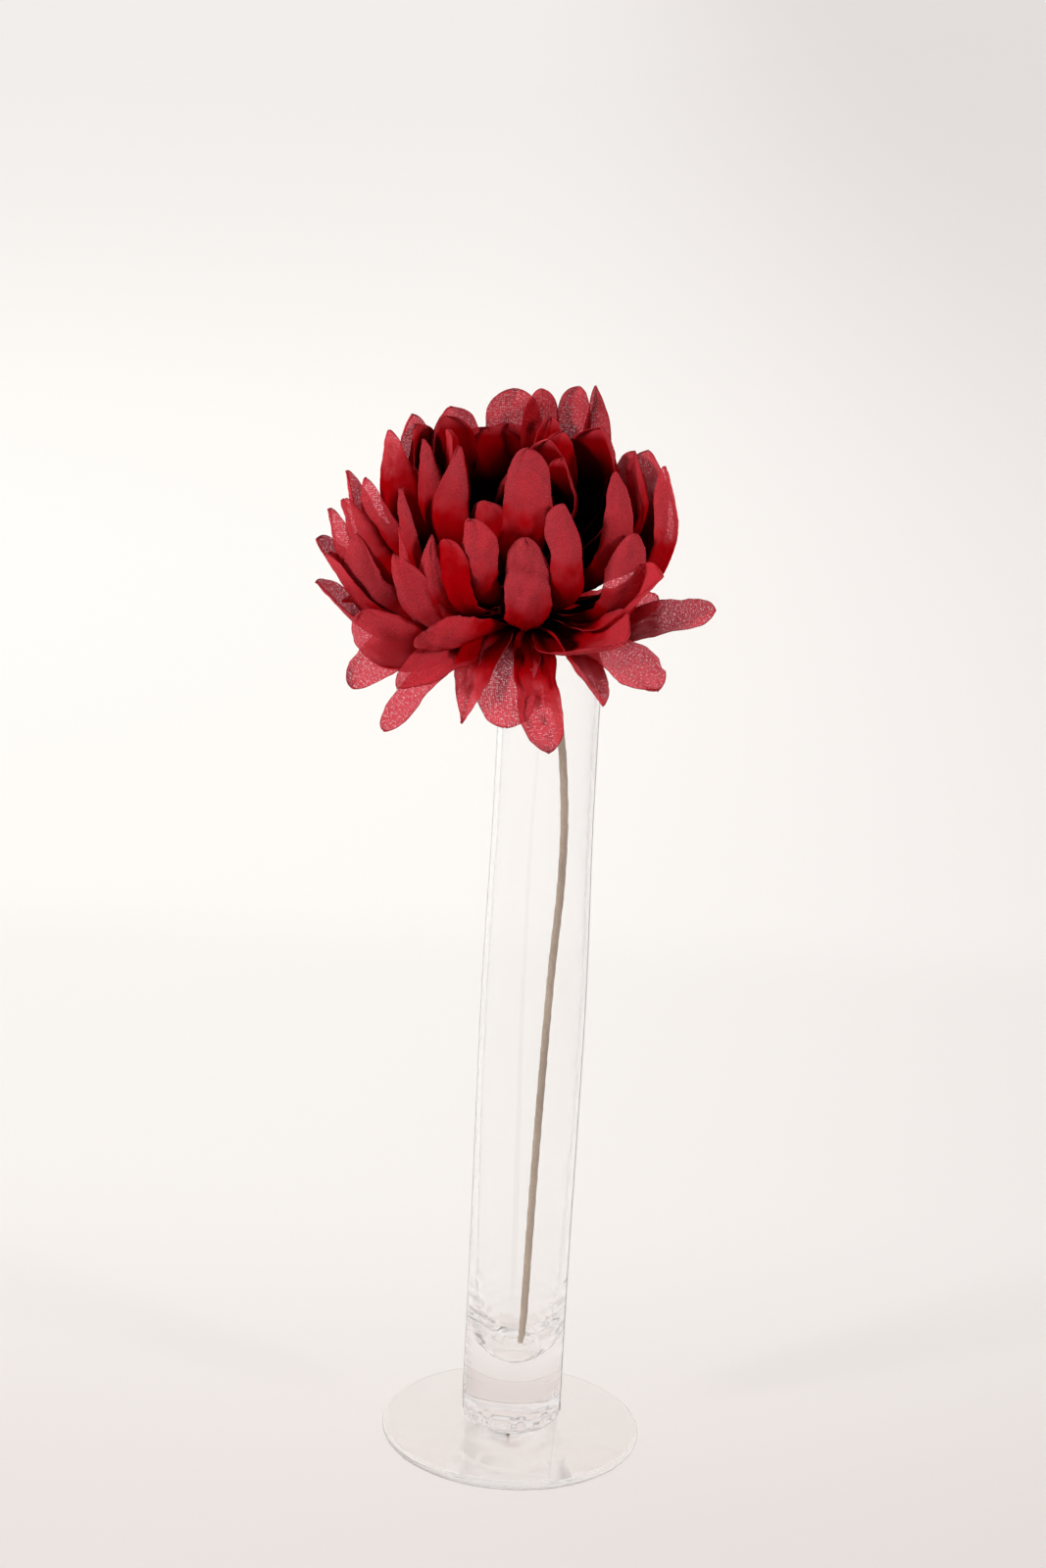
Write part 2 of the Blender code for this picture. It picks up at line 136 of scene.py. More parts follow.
class Sheet:
    """A node tree on which formulas are written."""

    def __init__(self, tree):
        self.tree = tree

    def node(self, kind, settings=None, values=None, output=0):
        """Add a node: its settings first, then a value or a wire for each named or numbered socket."""
        node = self.tree.nodes.new(kind)
        for name, setting in (settings or {}).items():
            setattr(node, name, setting)
        for name, value in (values or {}).items():
            if isinstance(value, Wire):
                self.tree.links.new(value.socket, node.inputs[name])
            else:
                node.inputs[name].default_value = value
        return Wire(self, node.outputs[output])

    def maths(self, operation, *values):
        """One sum on numbers."""
        return self.node("ShaderNodeMath", {"operation": operation}, dict(enumerate(values)))

    def sin(self, angle):
        """The sine of an angle in radians."""
        return self.maths("SINE", angle)

    def cos(self, angle):
        """The cosine of an angle in radians."""
        return self.maths("COSINE", angle)

    def bell(self, value, width):
        """1 where the value is 0, and falling to nothing on both sides."""
        return self.maths("EXPONENT", 0.0 - (value / width) ** 2.0)

    def ease(self, value, low=0.0, high=1.0):
        """Smooth step from 0 at low to 1 at high."""
        return self.node("ShaderNodeMapRange", {"interpolation_type": "SMOOTHSTEP"},
                         {"Value": value, "From Min": low, "From Max": high})

    def vector(self, x, y, z):
        """A vector from its three parts."""
        return self.node("ShaderNodeCombineXYZ", None, {0: x, 1: y, 2: z})

    def vectors(self, operation, *values):
        """One sum on vectors."""
        return self.node("ShaderNodeVectorMath", {"operation": operation}, dict(enumerate(values)))

    def scaled(self, vector, scale):
        """A vector made longer or shorter."""
        return self.node("ShaderNodeVectorMath", {"operation": "SCALE"}, {0: vector, "Scale": scale})

    def parts(self, vector):
        """The three parts of a vector."""
        x = self.node("ShaderNodeSeparateXYZ", None, {0: vector})
        return [Wire(self, socket) for socket in x.socket.node.outputs]

    def noise(self, place, scale, detail=2.0, roughness=0.5):
        """Soft noise from 0 to 1."""
        return self.node("ShaderNodeTexNoise", None,
                         {"Vector": place, "Scale": scale, "Detail": detail, "Roughness": roughness})

    def mix_colour(self, share, first, second, blend="MIX"):
        """The first colour at share 0, turning into the second at 1."""
        return self.node("ShaderNodeMix", {"data_type": "RGBA", "blend_type": blend},
                         {0: share, 6: first, 7: second}, output=2)

    def mix_shader(self, share, first, second):
        """The first shader at share 0, turning into the second at 1."""
        return self.node("ShaderNodeMixShader", None, {0: share, 1: first, 2: second})

    def surface(self, values):
        """The general surface shader, with the sockets that differ from its own values."""
        return self.node("ShaderNodeBsdfPrincipled", None, values)

    def see_through(self, tint):
        """A shader that shows what is straight behind, tinted."""
        return self.node("ShaderNodeBsdfTransparent", None, {"Color": tint})

    def relief(self, height, strength, depth):
        """A normal that leans as the height says, for relief too fine to model."""
        return self.node("ShaderNodeBump", None, {"Strength": strength, "Distance": depth, "Height": height})

    def object_place(self):
        """Where a point of the surface lies, in metres."""
        return self.node("ShaderNodeTexCoord", output="Object")

    def show(self, shader, kind="ShaderNodeOutputMaterial"):
        """Send a shader to the output of its material or world."""
        output = self.tree.nodes.new(kind)
        self.tree.links.new(shader.socket, output.inputs["Surface"])

    def attribute(self, name, kind="FLOAT"):
        """A number or a vector that a geometry carries."""
        return self.node("GeometryNodeInputNamedAttribute", {"data_type": kind}, {"Name": name})

    def store(self, geometry, name, value, kind="FLOAT", domain="POINT"):
        """The geometry, now carrying one more number or vector."""
        return self.node("GeometryNodeStoreNamedAttribute", {"data_type": kind, "domain": domain},
                         {"Geometry": geometry, "Name": name, "Value": value})

# %% [markdown]
# A geometry tree is a recipe that a modifier runs on an object. Its sizes are named inputs, and the modifier
# finds each of them by its socket's identifier. What has grown is kept as a plain mesh, so that nothing
# after it has to run the recipe again.

# %% Geometry trees


def new_geometry_sheet(name, kinds):
    """A geometry tree with a geometry input, and one named input of its own kind for each size."""
    tree = bpy.data.node_groups.new(name, "GeometryNodeTree")
    tree.interface.new_socket("Geometry", in_out="INPUT", socket_type="NodeSocketGeometry")
    tree.interface.new_socket("Geometry", in_out="OUTPUT", socket_type="NodeSocketGeometry")
    keys = {}
    for label, kind in kinds.items():
        socket = tree.interface.new_socket(label, in_out="INPUT", socket_type=kind)
        keys[label] = socket.identifier
    sheet = Sheet(tree)
    start = tree.nodes.new("NodeGroupInput")
    inputs = {socket.name: Wire(sheet, socket) for socket in start.outputs if socket.name}
    return sheet, inputs, keys


def finish_geometry_sheet(sheet, geometry):
    """Send the geometry to the tree's output."""
    end = sheet.tree.nodes.new("NodeGroupOutput")
    sheet.tree.links.new(geometry.socket, end.inputs[0])


def grow(carrier, sheet, keys, numbers, name):
    """Run a geometry tree on an object and keep the result as a plain mesh object at the origin."""
    modifier = carrier.modifiers.new("grow", "NODES")
    modifier.node_group = sheet.tree
    for label, number in numbers.items():
        modifier[keys[label]] = number
    bpy.context.view_layer.update()
    graph = bpy.context.evaluated_depsgraph_get()
    mesh = bpy.data.meshes.new_from_object(carrier.evaluated_get(graph))
    mesh.name = name
    bpy.data.objects.remove(carrier, do_unlink=True)
    piece = placed(name, mesh)
    print(name, len(mesh.vertices), "points", len(mesh.polygons), "faces")
    return piece

# %% [markdown]
# The petals are stamped from thin stiffened cloth and dyed crimson. One layer is gauze: what stands behind it
# shows through, tinted by the threads and clearer at the gaps between them. A picture of cloth could be laid
# on the petals, but formulas stay sharp at any size, and they also paint the light and shade on the cloth:
# painted light makes the tips pale and a little shiny, and painted shade makes the cloth dull and pure red
# lower down, and nearly black where the petals close over the heart.
# The pattern is drawn in millimetres of flat cloth, which the petals carry as a UV map. It begins with
# two rows of waves for the threads. They wander, and thick places in them close the gaps here and there.

# %% Weave
THREAD_PITCH_MM = 0.6
THREAD_DRIFT = (0.6, 0.5)  # mm, how far warp and weft wander
SLUBS = 3.8                # how strongly the thick and thin places change the gaps


def weave(sheet, flat):
    """The gaps between the threads, the thick places in them, and the height of the cloth."""
    drift = sheet.noise(flat, 0.45)
    x, y, _ = sheet.parts(flat)
    turns = math.tau / THREAD_PITCH_MM
    warp = sheet.cos((x + drift * THREAD_DRIFT[0]) * turns) * 0.5 + 0.5
    weft = sheet.cos((y + drift * THREAD_DRIFT[1]) * turns) * 0.5 + 0.5
    slub = sheet.noise(sheet.vector(x * 0.8, y * 1.2, 0.0), 1.5, 3.0, 0.65)
    gap = sheet.ease(warp * weft * 0.6 + (slub - 0.5) * SLUBS, 0.1, 0.6)
    return gap, slub, warp * weft * -0.6 + slub * 0.5

# %% [markdown]
# Light hardly reaches the heart of the flower. Leaving that to the lamps alone would make it a dull red,
# because thin cloth glows. So a formula darkens the faces that look at the heart's axis from close by,
# most of all on the innermost tiers.

# %% Dark heart
HUB_FOOT = Vector((-8.3, -10.7, 260.0))      # mm, where the lowest petals meet
HEART_EDGE = (18 * MM, 40 * MM)              # the darkness fades out between these distances from the axis


def facing_heart(sheet, tier):
    """1 on the inner faces of the petals that close over the heart, 0 on all that looks outward."""
    place_x, place_y, _ = sheet.parts(sheet.object_place())
    face_x, face_y, _ = sheet.parts(sheet.node("ShaderNodeNewGeometry", output="Normal"))
    from_heart_x = place_x - HUB_FOOT.x * MM
    from_heart_y = place_y - HUB_FOOT.y * MM
    reach = sheet.maths("SQRT", from_heart_x * from_heart_x + from_heart_y * from_heart_y) + 2 * MM
    outward = (face_x * from_heart_x + face_y * from_heart_y) / reach
    inner_face = 1.0 - sheet.ease(outward, -0.6, 0.1)
    near_heart = 1.0 - sheet.ease(reach, *HEART_EDGE)
    return inner_face * (0.25 + near_heart * 0.4 + sheet.ease(tier, 3.9, 5.0) * 0.35)

# %% [markdown]
# The cloth has three looks. Outside, a pale, a little shiny lit copy of the cloth is mixed with a matte
# shaded copy: painted light and painted shade. Far down it is painted nearly black and dark red, as painted
# shade. And where one layer stands free, it lets through what is straight behind it.

# %% Three looks of the cloth
# CLOTH_DEEP is the cloth in painted shade and CLOTH_LIT the cloth in painted light; HEART_BLACK and HEART_RED
# are the painted shade deep in the flower
CLOTH_DEEP = (0.28, 0.0004, 0.002, 1.0)
CLOTH_LIT = (0.54, 0.034, 0.052, 1.0)
CLOTH_GLOW = (0.62, 0.003, 0.008, 1.0)
CLOTH_SHEEN = (1.0, 0.5, 0.55, 1.0)
HEART_BLACK = (0.004, 0.0, 0.0, 1.0)
HEART_RED = (0.19, 0.0004, 0.0015, 1.0)
THREADS_THROUGH = (0.83, 0.36, 0.42, 1.0)    # a petal has two faces, so light takes on these tints twice
GAPS_THROUGH = (1.0, 0.92, 0.95, 1.0)
GLOW_SHARE = 0.2                             # how much of the cloth's light soaks through from behind


def lit_cloth(sheet, worn, free, slub, height):
    """A matte shaded copy and a pale, shiny lit copy of the cloth, mixed by the painted light, with a little
    light that soaks through from the other side.
    """
    relief = sheet.relief(height, 0.25, 0.15 * MM)
    lit_threads = sheet.surface({
        "Base Color": CLOTH_LIT, "Roughness": 0.65 + slub * 0.2, "Normal": relief,
        "Specular IOR Level": 0.3, "Sheen Weight": 0.06, "Sheen Roughness": 0.4, "Sheen Tint": CLOTH_SHEEN,
    })
    dyed = sheet.surface({
        "Base Color": CLOTH_DEEP, "Roughness": 0.9, "Normal": relief, "Specular IOR Level": 0.0,
    })
    outside = sheet.mix_shader(worn, dyed, lit_threads)
    glow = sheet.node("ShaderNodeBsdfTranslucent", None, {"Color": CLOTH_GLOW})
    return sheet.mix_shader(free * GLOW_SHARE, outside, glow)


def dark_cloth(sheet, depth, tier, in_heart):
    """Painted shade deep in the flower: nearly black, turning pure red where a little light would come back.
    """
    outer_tier = 1.0 - sheet.ease(tier, 1.0, 3.0)
    share = sheet.ease(depth - in_heart * 0.35 + outer_tier * 0.5, 0.34, 0.72)
    return sheet.surface({
        "Base Color": sheet.mix_colour(share, HEART_BLACK, HEART_RED),
        "Roughness": 0.9, "Specular IOR Level": 0.0,
    })


def seen_through(sheet, gap):
    """What is straight behind, tinted by the threads and clearer at the gaps."""
    by_threads = sheet.see_through(THREADS_THROUGH)
    by_gaps = sheet.see_through(GAPS_THROUGH)
    return sheet.mix_shader(gap, by_threads, by_gaps)

# %% [markdown]
# Now the looks are mixed. Each petal carries its shade and its tier, and each point of it the share of the
# length that lies below, and these say how much painted shade and how much painted light the cloth gets
# there. The cut edge is a material of its own, because the dye gathers in it as a thin dark line.

# %% Crimson cloth
OPEN_SHARE = 0.54                            # how much of the cloth is see-through
CUT_EDGE = (0.11, 0.004, 0.008, 1.0)


def new_material(name):
    """An empty material and the sheet to write it on."""
    material = bpy.data.materials.new(name)
    material.use_nodes = True
    material.node_tree.nodes.clear()
    return material, Sheet(material.node_tree)


def crimson_cloth():
    """Painted light and shade on the cloth outside, painted dark shade in the heart, and gauze wherever a
    layer stands free.
    """
    material, sheet = new_material("crimson_cloth")
    flat = sheet.node("ShaderNodeUVMap", {"uv_map": "flat_cloth"})
    shade, depth, tier = [sheet.node("ShaderNodeAttribute", {"attribute_name": name}, output="Fac")
                          for name in ("shade", "u", "tier")]
    gap, slub, height = weave(sheet, flat)
    blotch = sheet.noise(flat, 0.12, 3.0)
    in_heart = facing_heart(sheet, tier)

    # free: how far the cloth is out of the painted shade of the petals in front. The mask below it is the
    # painted light, from the matte shaded dye at 0 to the pale, shiny lit threads at 1.
    covered = tier * 0.07 + (0.6 - shade) * 0.25 + (blotch - 0.5) * 0.3
    free = sheet.ease(depth - covered, 0.06, 0.52) * 0.94 + 0.06
    shaded = sheet.ease(tier, 1.0, 4.0) * 0.3
    worn = sheet.ease(depth * 1.7 - 1.35 + blotch * 0.9 + shade * 0.9 + slub * 0.15 - shaded, 0.3, 0.85)

    rim = sheet.ease(depth, 0.92, 1.0)
    # painted shade: here the dark cloth of the heart takes the place of the lit cloth, a little less near the
    # tips
    hidden = (1.0 - free * (1.0 - sheet.ease(in_heart, 0.15, 0.6))) * (1.0 - rim * 0.6)
    cloth = sheet.mix_shader(hidden, lit_cloth(sheet, worn, free, slub, height),
                             dark_cloth(sheet, depth, tier, in_heart))

    thin = (sheet.ease(shade, 0.0, 0.4) * 0.4 + 0.6) * (worn * 0.85 + 0.15)
    # the gauze is also less see-through in the painted shade
    open_weave = (gap * 0.04 + OPEN_SHARE) * sheet.ease(free * (1.0 - in_heart), 0.1, 0.9) * thin
    gauze = sheet.mix_shader(open_weave, cloth, seen_through(sheet, gap))
    sheet.show(gauze)
    return material


def cut_edge():
    """The cut edge of the cloth, where the dye gathers."""
    material, sheet = new_material("cut_edge")
    place = sheet.object_place()
    fray = sheet.noise(place, 900.0)
    edge = sheet.surface({
        "Base Color": sheet.mix_colour(fray, CUT_EDGE, CLOTH_DEEP),
        "Roughness": 0.85, "Specular IOR Level": 0.15,
    })
    sheet.show(edge)
    return material


cloth_material = crimson_cloth()
edge_material = cut_edge()
print("cloth of", len(cloth_material.node_tree.nodes), "nodes")

# %% [markdown]
# One petal is one strip of cloth. Its middle line leaves the core at one rise and ends at another, and the
# strip is cupped across, twisted and pressed. On the near side each petal was placed one by one, because the
# outline of the flower is made there.
#
# Angles are degrees, lengths are millimetres, and bend and fold are shares of the petal's length.
# rise: how steeply it leaves the core and how steeply it ends. bend: where it turns from one to the other.
# cup: how far it is bowed across. twist: how far it turns about its own line. point: 0 round, 1 pointed.
# sway: how far it leans sideways. crease and fold: how crumpled it is, and where it is folded across.
# tone: from 0, opaque and mostly in painted shade, to 1, thin and mostly in painted light.

# %% Placed petals
Petal = namedtuple("Petal", "tier heading rise_root rise_tip bend length width cup twist point "
                   "sway crease fold tone", defaults=(0.0, 0.45, 0.0, 0.55))

PLACED_PETALS = {
    # lowest tier, spread flat or drooping
    "right 1": Petal(1, 340, 0, 25, 0.5, 55, 11, 40, 55, 0.1, crease=0.8, tone=0.3),
    "right 1 back": Petal(1, 33, 0, 5, 0.5, 43, 14, 25, 30, 0.4),
    "right 2": Petal(1, 316, 5, -20, 0.4, 50, 16, 15, 10, 0.1, crease=0.9),
    "right 3": Petal(1, 302, 5, -35, 0.4, 43, 17, 40, -20, 0.8, tone=0.1),
    "front 1": Petal(1, 277, 10, -60, 0.35, 51, 12, 25, 0, 0.1, sway=9, crease=2.0, fold=0.62, tone=0.15),
    "front 2": Petal(1, 263, 10, -55, 0.35, 43, 17, 15, 0, 0.1, crease=0.5),
    "front 3": Petal(1, 247, 5, -50, 0.4, 46, 14, 50, 0, 1.0, tone=0.2),
    "left 1": Petal(1, 226, -15, -30, 0.5, 57, 8, 30, -25, 0.0, crease=0.4),
    "left 2": Petal(1, 230, -8, -15, 0.5, 51, 12, 35, -30, 0.3, crease=0.4, tone=0.4),
    "left 3": Petal(1, 201, 5, -45, 0.5, 54, 14, 25, -40, 0.3, crease=0.7, tone=0.45),
    # second tier, out and then up
    "left 4": Petal(2, 214, -28, 60, 0.6, 60, 24, 70, 55, 0.5, crease=0.6, tone=0.2),
    "left 5": Petal(2, 190, -22, 45, 0.55, 63, 17, 50, -10, 0.2, tone=0.4),
    "left 5 upper": Petal(2, 188, -12, 60, 0.6, 62, 20, 50, 0, 0.2, tone=0.0),
    "left 6": Petal(2, 178, -5, 52, 0.6, 63, 16, 40, -15, 0.1, tone=0.35),
    "left 16": Petal(2, 194, -12, 95, 0.62, 67, 22, 60, 35, 0.5, tone=0.4),
    "left 17": Petal(2, 220, -12, 65, 0.5, 57, 18, 60, 30, 0.7),
    "front 4": Petal(2, 240, -10, 20, 0.5, 51, 16, 30, 45, 0.1, crease=0.4),
    "front 5": Petal(2, 274, -2, 100, 0.5, 49, 14, 45, 0, 0.2, sway=-8, crease=1.0, fold=0.78),
    "right 4": Petal(2, 302, -10, 20, 0.5, 51, 25, 40, 25, 0.4, crease=0.4, tone=0.45),
    "right 7": Petal(2, 324, 2, 45, 0.5, 49, 18, 45, 35, 0.0, tone=0.2),
    # third tier
    "left 7": Petal(3, 186, -5, 75, 0.6, 67, 18, 60, 35, 0.7, tone=0.25),
    "left 8": Petal(3, 192, 3, 75, 0.6, 64, 20, 60, 25, 0.6, tone=0.25),
    "left 9": Petal(3, 182, 12, 75, 0.6, 65, 18, 60, -30, 0.7, tone=0.2),
    "front 7": Petal(3, 302, 8, 105, 0.5, 54, 15, 85, 0, 0.1, sway=-12),
    "right 5": Petal(3, 326, -8, 100, 0.55, 55, 17, 50, -20, 0.3, crease=0.4),
    "right 8": Petal(3, 344, 8, 105, 0.55, 71, 14, 60, -20, 0.5, tone=0.4),
    "right 9": Petal(3, 10, 22, 108, 0.6, 64, 19, 60, 35, 0.0, tone=0.25),
    "right 10": Petal(4, 14, 22, 108, 0.6, 59, 20, 55, 10, 0.1, tone=0.1),
    "back 3": Petal(3, 98, 40, 85, 0.5, 65, 18, 25, 0, 0.0, crease=0.6, fold=0.9),
    "back 3 fold": Petal(4, 83, 42, 85, 0.5, 62, 11, 25, 10, 0.0, crease=0.6, fold=0.75),
    # fourth tier, nearly upright
    "left 10": Petal(4, 194, 8, 85, 0.6, 62, 18, 60, 30, 0.5, tone=0.3),
    "left 11": Petal(4, 180, 20, 90, 0.55, 65, 22, 60, 40, 0.6, tone=0.05),
    "left 14": Petal(4, 160, 30, 95, 0.6, 63, 15, 40, -20, 0.1),
    "left 15": Petal(4, 137, 35, 98, 0.6, 61, 22, 35, 0, 0.0),
    "left 19": Petal(4, 226, -15, 95, 0.55, 54, 13, 55, 30, 0.9),
    "left 20": Petal(4, 214, -12, 85, 0.55, 56, 10, 55, 0, 0.9),
    "left 21": Petal(4, 234, -10, 88, 0.55, 49, 13, 50, 0, 0.0, tone=0.0),
    "left 22": Petal(4, 245, 0, 85, 0.5, 49, 14, 80, 0, 0.0, crease=0.7),
    "front 6": Petal(4, 267, 28, 95, 0.4, 55, 14, 35, 0, 0.1, sway=4, crease=0.9, fold=0.55),
    "right 6": Petal(4, 330, 12, 102, 0.5, 58, 13, 60, -25, 0.5, crease=0.4),
    "back 1": Petal(4, 50, 40, 105, 0.6, 68, 13, 45, 20, 0.8),
    "back 2": Petal(4, 66, 40, 95, 0.6, 66, 12, 40, 0, 0.0),
    "back 3 low": Petal(4, 75, 40, 85, 0.5, 54, 9, 30, 0, 0.1),
    # fifth and sixth tiers, curling in over the heart
    "left 12": Petal(5, 196, 25, 90, 0.5, 55, 16, 70, 20, 0.7, tone=0.5),
    "left 13": Petal(5, 215, 20, 110, 0.5, 56, 18, 70, 20, 0.9),
    "heart left": Petal(5, 157, 25, 88, 0.55, 57, 24, 45, 0, 0.0, tone=0.0),
    "heart back left": Petal(5, 140, 30, 90, 0.55, 56, 22, 50, 0, 0.0),
    "heart front": Petal(6, 240, 0, 90, 0.4, 36, 16, 50, 0, 0.0, tone=0.0),
    "left 18": Petal(5, 205, -5, 85, 0.5, 56, 14, 60, 0, 0.8),
    "back 4": Petal(5, 40, 22, 108, 0.55, 59, 28, 60, 0, 0.0),
    "back 5 far": Petal(5, 100, 30, 75, 0.5, 52, 22, 40, 0, 0.0),
    "back 5": Petal(6, 110, 35, 60, 0.55, 49, 22, 40, 0, 0.0),
    "back 7": Petal(5, 62, 35, 115, 0.5, 48, 17, 50, 0, 0.0),
    "back 7 inner": Petal(6, 30, 35, 105, 0.5, 39, 14, 45, 0, 0.0),
}
print(len(PLACED_PETALS), "petals placed by hand")

# %% [markdown]
# The far side and the depth of the heart are hidden, so a rule for each tier fills them. Small differences
# from a fixed seed keep the ruled petals from standing like the spokes of a wheel.

# %% Ruled petals
RULE_SEED = 12
INNER_TIER = 4             # from here on petals stand in the dark heart, rounder, and of low tone, so mostly in painted shade

# tier, how many, first and last heading, rise at the root and tip, length, width, cup
RULED_PETALS = (
    (1, 5, 66, 176, 12, -4, 50, 15, 30),
    (2, 6, 40, 152, 14, 42, 50, 16, 40),
    (3, 4, 55, 162, 30, 66, 52, 17, 45),
    (4, 2, 62, 150, 42, 88, 50, 16, 50),
    (5, 2, 75, 125, 48, 110, 35, 15, 55),
    (6, 3, 10, 290, 62, 118, 28, 12, 60),
)


def all_petals():
    """The placed petals and then the ruled ones, with the rule's small seeded differences."""
    chance = random.Random(RULE_SEED)
    petals = list(PLACED_PETALS.values())
    for tier, count, first, last, rise_root, rise_tip, length, width, cup in RULED_PETALS:
        inner = tier >= INNER_TIER
        for k in range(count):
            heading = first + (last - first) * k / (count - 1) + chance.uniform(-5, 5)
            petals.append(Petal(
                tier, heading,
                rise_root + chance.uniform(-4, 4), rise_tip + chance.uniform(-6, 6), 0.5,
                length + chance.uniform(-2, 2), width + chance.uniform(-1, 1), cup,
                chance.uniform(-20, 20), chance.uniform(0.1, 0.9) * (0.2 if inner else 1.0),
                tone=0.1 if inner else 0.5,
            ))
    return petals


petals = all_petals()
print(len(petals), "petals in all")

# %% [markdown]
# Each petal starts as one point at its root on the leaning core, with its numbers as attributes. One tree
# then grows them all at once, so there is no loop, and one number changes one petal.

# %% Petal roots
HUB_LEAN = math.radians(20.0)
HUB_HEADING = math.radians(235.0)
HUB_AXIS = Vector((math.sin(HUB_LEAN) * math.cos(HUB_HEADING),
                   math.sin(HUB_LEAN) * math.sin(HUB_HEADING),
                   math.cos(HUB_LEAN)))
TIER_STEP = 3.0            # mm along the core's axis
ROOT_RADIUS = {1: 3.0, 2: 3.5, 3: 3.5, 4: 3.0, 5: 2.5, 6: 1.5}      # mm from the axis, for each tier
SHADE_SEED = 5


def petal_points():
    """One point for each petal, at its root, with its numbers as attributes."""
    chance = random.Random(SHADE_SEED)
    roots = []
    for petal in petals:
        heading = math.radians(petal.heading)
        out = Vector((math.cos(heading), math.sin(heading), 0.0))
        level = HUB_AXIS * (TIER_STEP * (petal.tier - 1))
        roots.append(HUB_FOOT + level + out * ROOT_RADIUS[petal.tier])
    mesh = bpy.data.meshes.new("petal_roots")
    mesh.from_pydata([root * MM for root in roots], [], [])
    numbers = {name: [float(getattr(petal, name)) for petal in petals] for name in Petal._fields}
    numbers["petal"] = list(range(len(petals)))
    numbers["shade"] = [petal.tone * 0.85 + chance.uniform(0.0, 0.15) for petal in petals]
    for name, values in numbers.items():
        mesh.attributes.new(name, "FLOAT", "POINT").data.foreach_set("value", values)
    mesh.attributes.new("root", "FLOAT_VECTOR", "POINT").data.foreach_set(
        "vector", [part for root in roots for part in root])
    return placed("petal_roots", mesh)

# %% [markdown]
# The tree sets a flat grid of points on every root. It adds up small steps along the middle line, which an
# Accumulate Field node does, so the line can bend and sway and still keeps its length.

# %% Middle line
RADIAN = math.pi / 180
QUARTER_TURN = math.pi / 2
BEND_SHARE = 0.7           # share of the length over which a petal turns from one rise to the other


def flat_strips(sheet, inputs):
    """A flat grid on every point. v goes across from -1 to 1, and s goes along from 0 to 1."""
    grid = sheet.node("GeometryNodeMeshGrid", None, {
        "Size X": 2.0, "Size Y": 1.0, "Vertices X": inputs["Columns"], "Vertices Y": inputs["Rows"]})
    across, along, _ = sheet.parts(sheet.node("GeometryNodeInputPosition"))
    grid = sheet.store(grid, "v", across)
    grid = sheet.store(grid, "s", along + 0.5)
    strips = sheet.node("GeometryNodeInstanceOnPoints", None,
                        {"Points": inputs["Geometry"], "Instance": grid})
    return sheet.node("GeometryNodeRealizeInstances", None, {"Geometry": strips})


def heading_out(sheet):
    """The two parts of a petal's level direction away from the core."""
    heading = sheet.attribute("heading") * RADIAN
    return sheet.cos(heading), sheet.sin(heading)


def cloth_rise(sheet, share):
    """How steeply the middle line climbs at a share of its length, in radians."""
    root = sheet.attribute("rise_root")
    turn = sheet.attribute("rise_tip") - root
    bent = sheet.ease((share - sheet.attribute("bend") + BEND_SHARE / 2) / BEND_SHARE)
    return (root + turn * bent) * RADIAN


def middle_line(sheet, inputs, s, u, v):
    """Where each row lies: all the steps up to it, added together."""
    before = sheet.sin((s - 1.0 / (inputs["Rows"] - 1.0)) * QUARTER_TURN)
    step = (u - before) * sheet.attribute("length") * (s > 0.0001)
    halfway = (u + before) * 0.5
    climb = cloth_rise(sheet, halfway)
    lean = sheet.attribute("sway") * RADIAN * sheet.ease(halfway)
    ahead = sheet.cos(lean) * step
    aside = sheet.sin(lean) * step
    level = sheet.cos(climb) * ahead
    out_x, out_y = heading_out(sheet)
    stride = sheet.vector(level * out_x - aside * out_y,
                          level * out_y + aside * out_x,
                          sheet.sin(climb) * ahead)
    column = sheet.maths("ROUND", (v + 1.0) * 0.5 * (inputs["Columns"] - 1.0))
    one_column = sheet.maths("ROUND", sheet.attribute("petal") * inputs["Columns"] + column)
    return sheet.node("GeometryNodeAccumulateField", {"data_type": "FLOAT_VECTOR"},
                      {"Value": stride, "Group ID": one_column})

# %% [markdown]
# Across the line the strip has a width and two directions, and it stands off its clean form by a little.
# Noise takes the machine look away: no outline is even, and no strip stays flat. Some petals are also
# buckled, and a few have one fold pressed right across.

# %% Width and crumple
CLAW = 0.24                # width at the root as a share of the full width
WIDEST_AT = 0.5            # share of the length at which a petal has its full width
NARROWEST = 0.25           # mm, half the width of the very tip
BUCKLES = 1.6              # mm, the sharp small waves of a crumpled petal
PRESSED_LINE = 0.5         # mm, how deep the middle line is pressed in
FOLD_RIDGE = 1.1           # mm, how high a fold stands up
FOLD_DENT = 0.9            # mm, and the dent beside it


def cross_directions(sheet, u):
    """The sideways and the inward direction of each row, turned by the sway and the twist."""
    out_x, out_y = heading_out(sheet)
    here = cloth_rise(sheet, u)
    sway = sheet.attribute("sway") * RADIAN * sheet.ease(u)
    back = sheet.sin(sway)
    level = sheet.cos(sway)
    lift = (sheet.sin(here) * out_x * -1.0, sheet.sin(here) * out_y * -1.0, sheet.cos(here))
    side = (out_y * level * -1.0 - sheet.cos(here) * out_x * back,
            out_x * level - sheet.cos(here) * out_y * back,
            sheet.sin(here) * back * -1.0)
    twist = sheet.attribute("twist") * RADIAN * sheet.ease(u / 0.6)
    turned_side = [lift[k] * sheet.sin(twist) + side[k] * sheet.cos(twist) for k in range(3)]
    inward = [lift[k] * sheet.cos(twist) - side[k] * sheet.sin(twist) for k in range(3)]
    return turned_side, inward


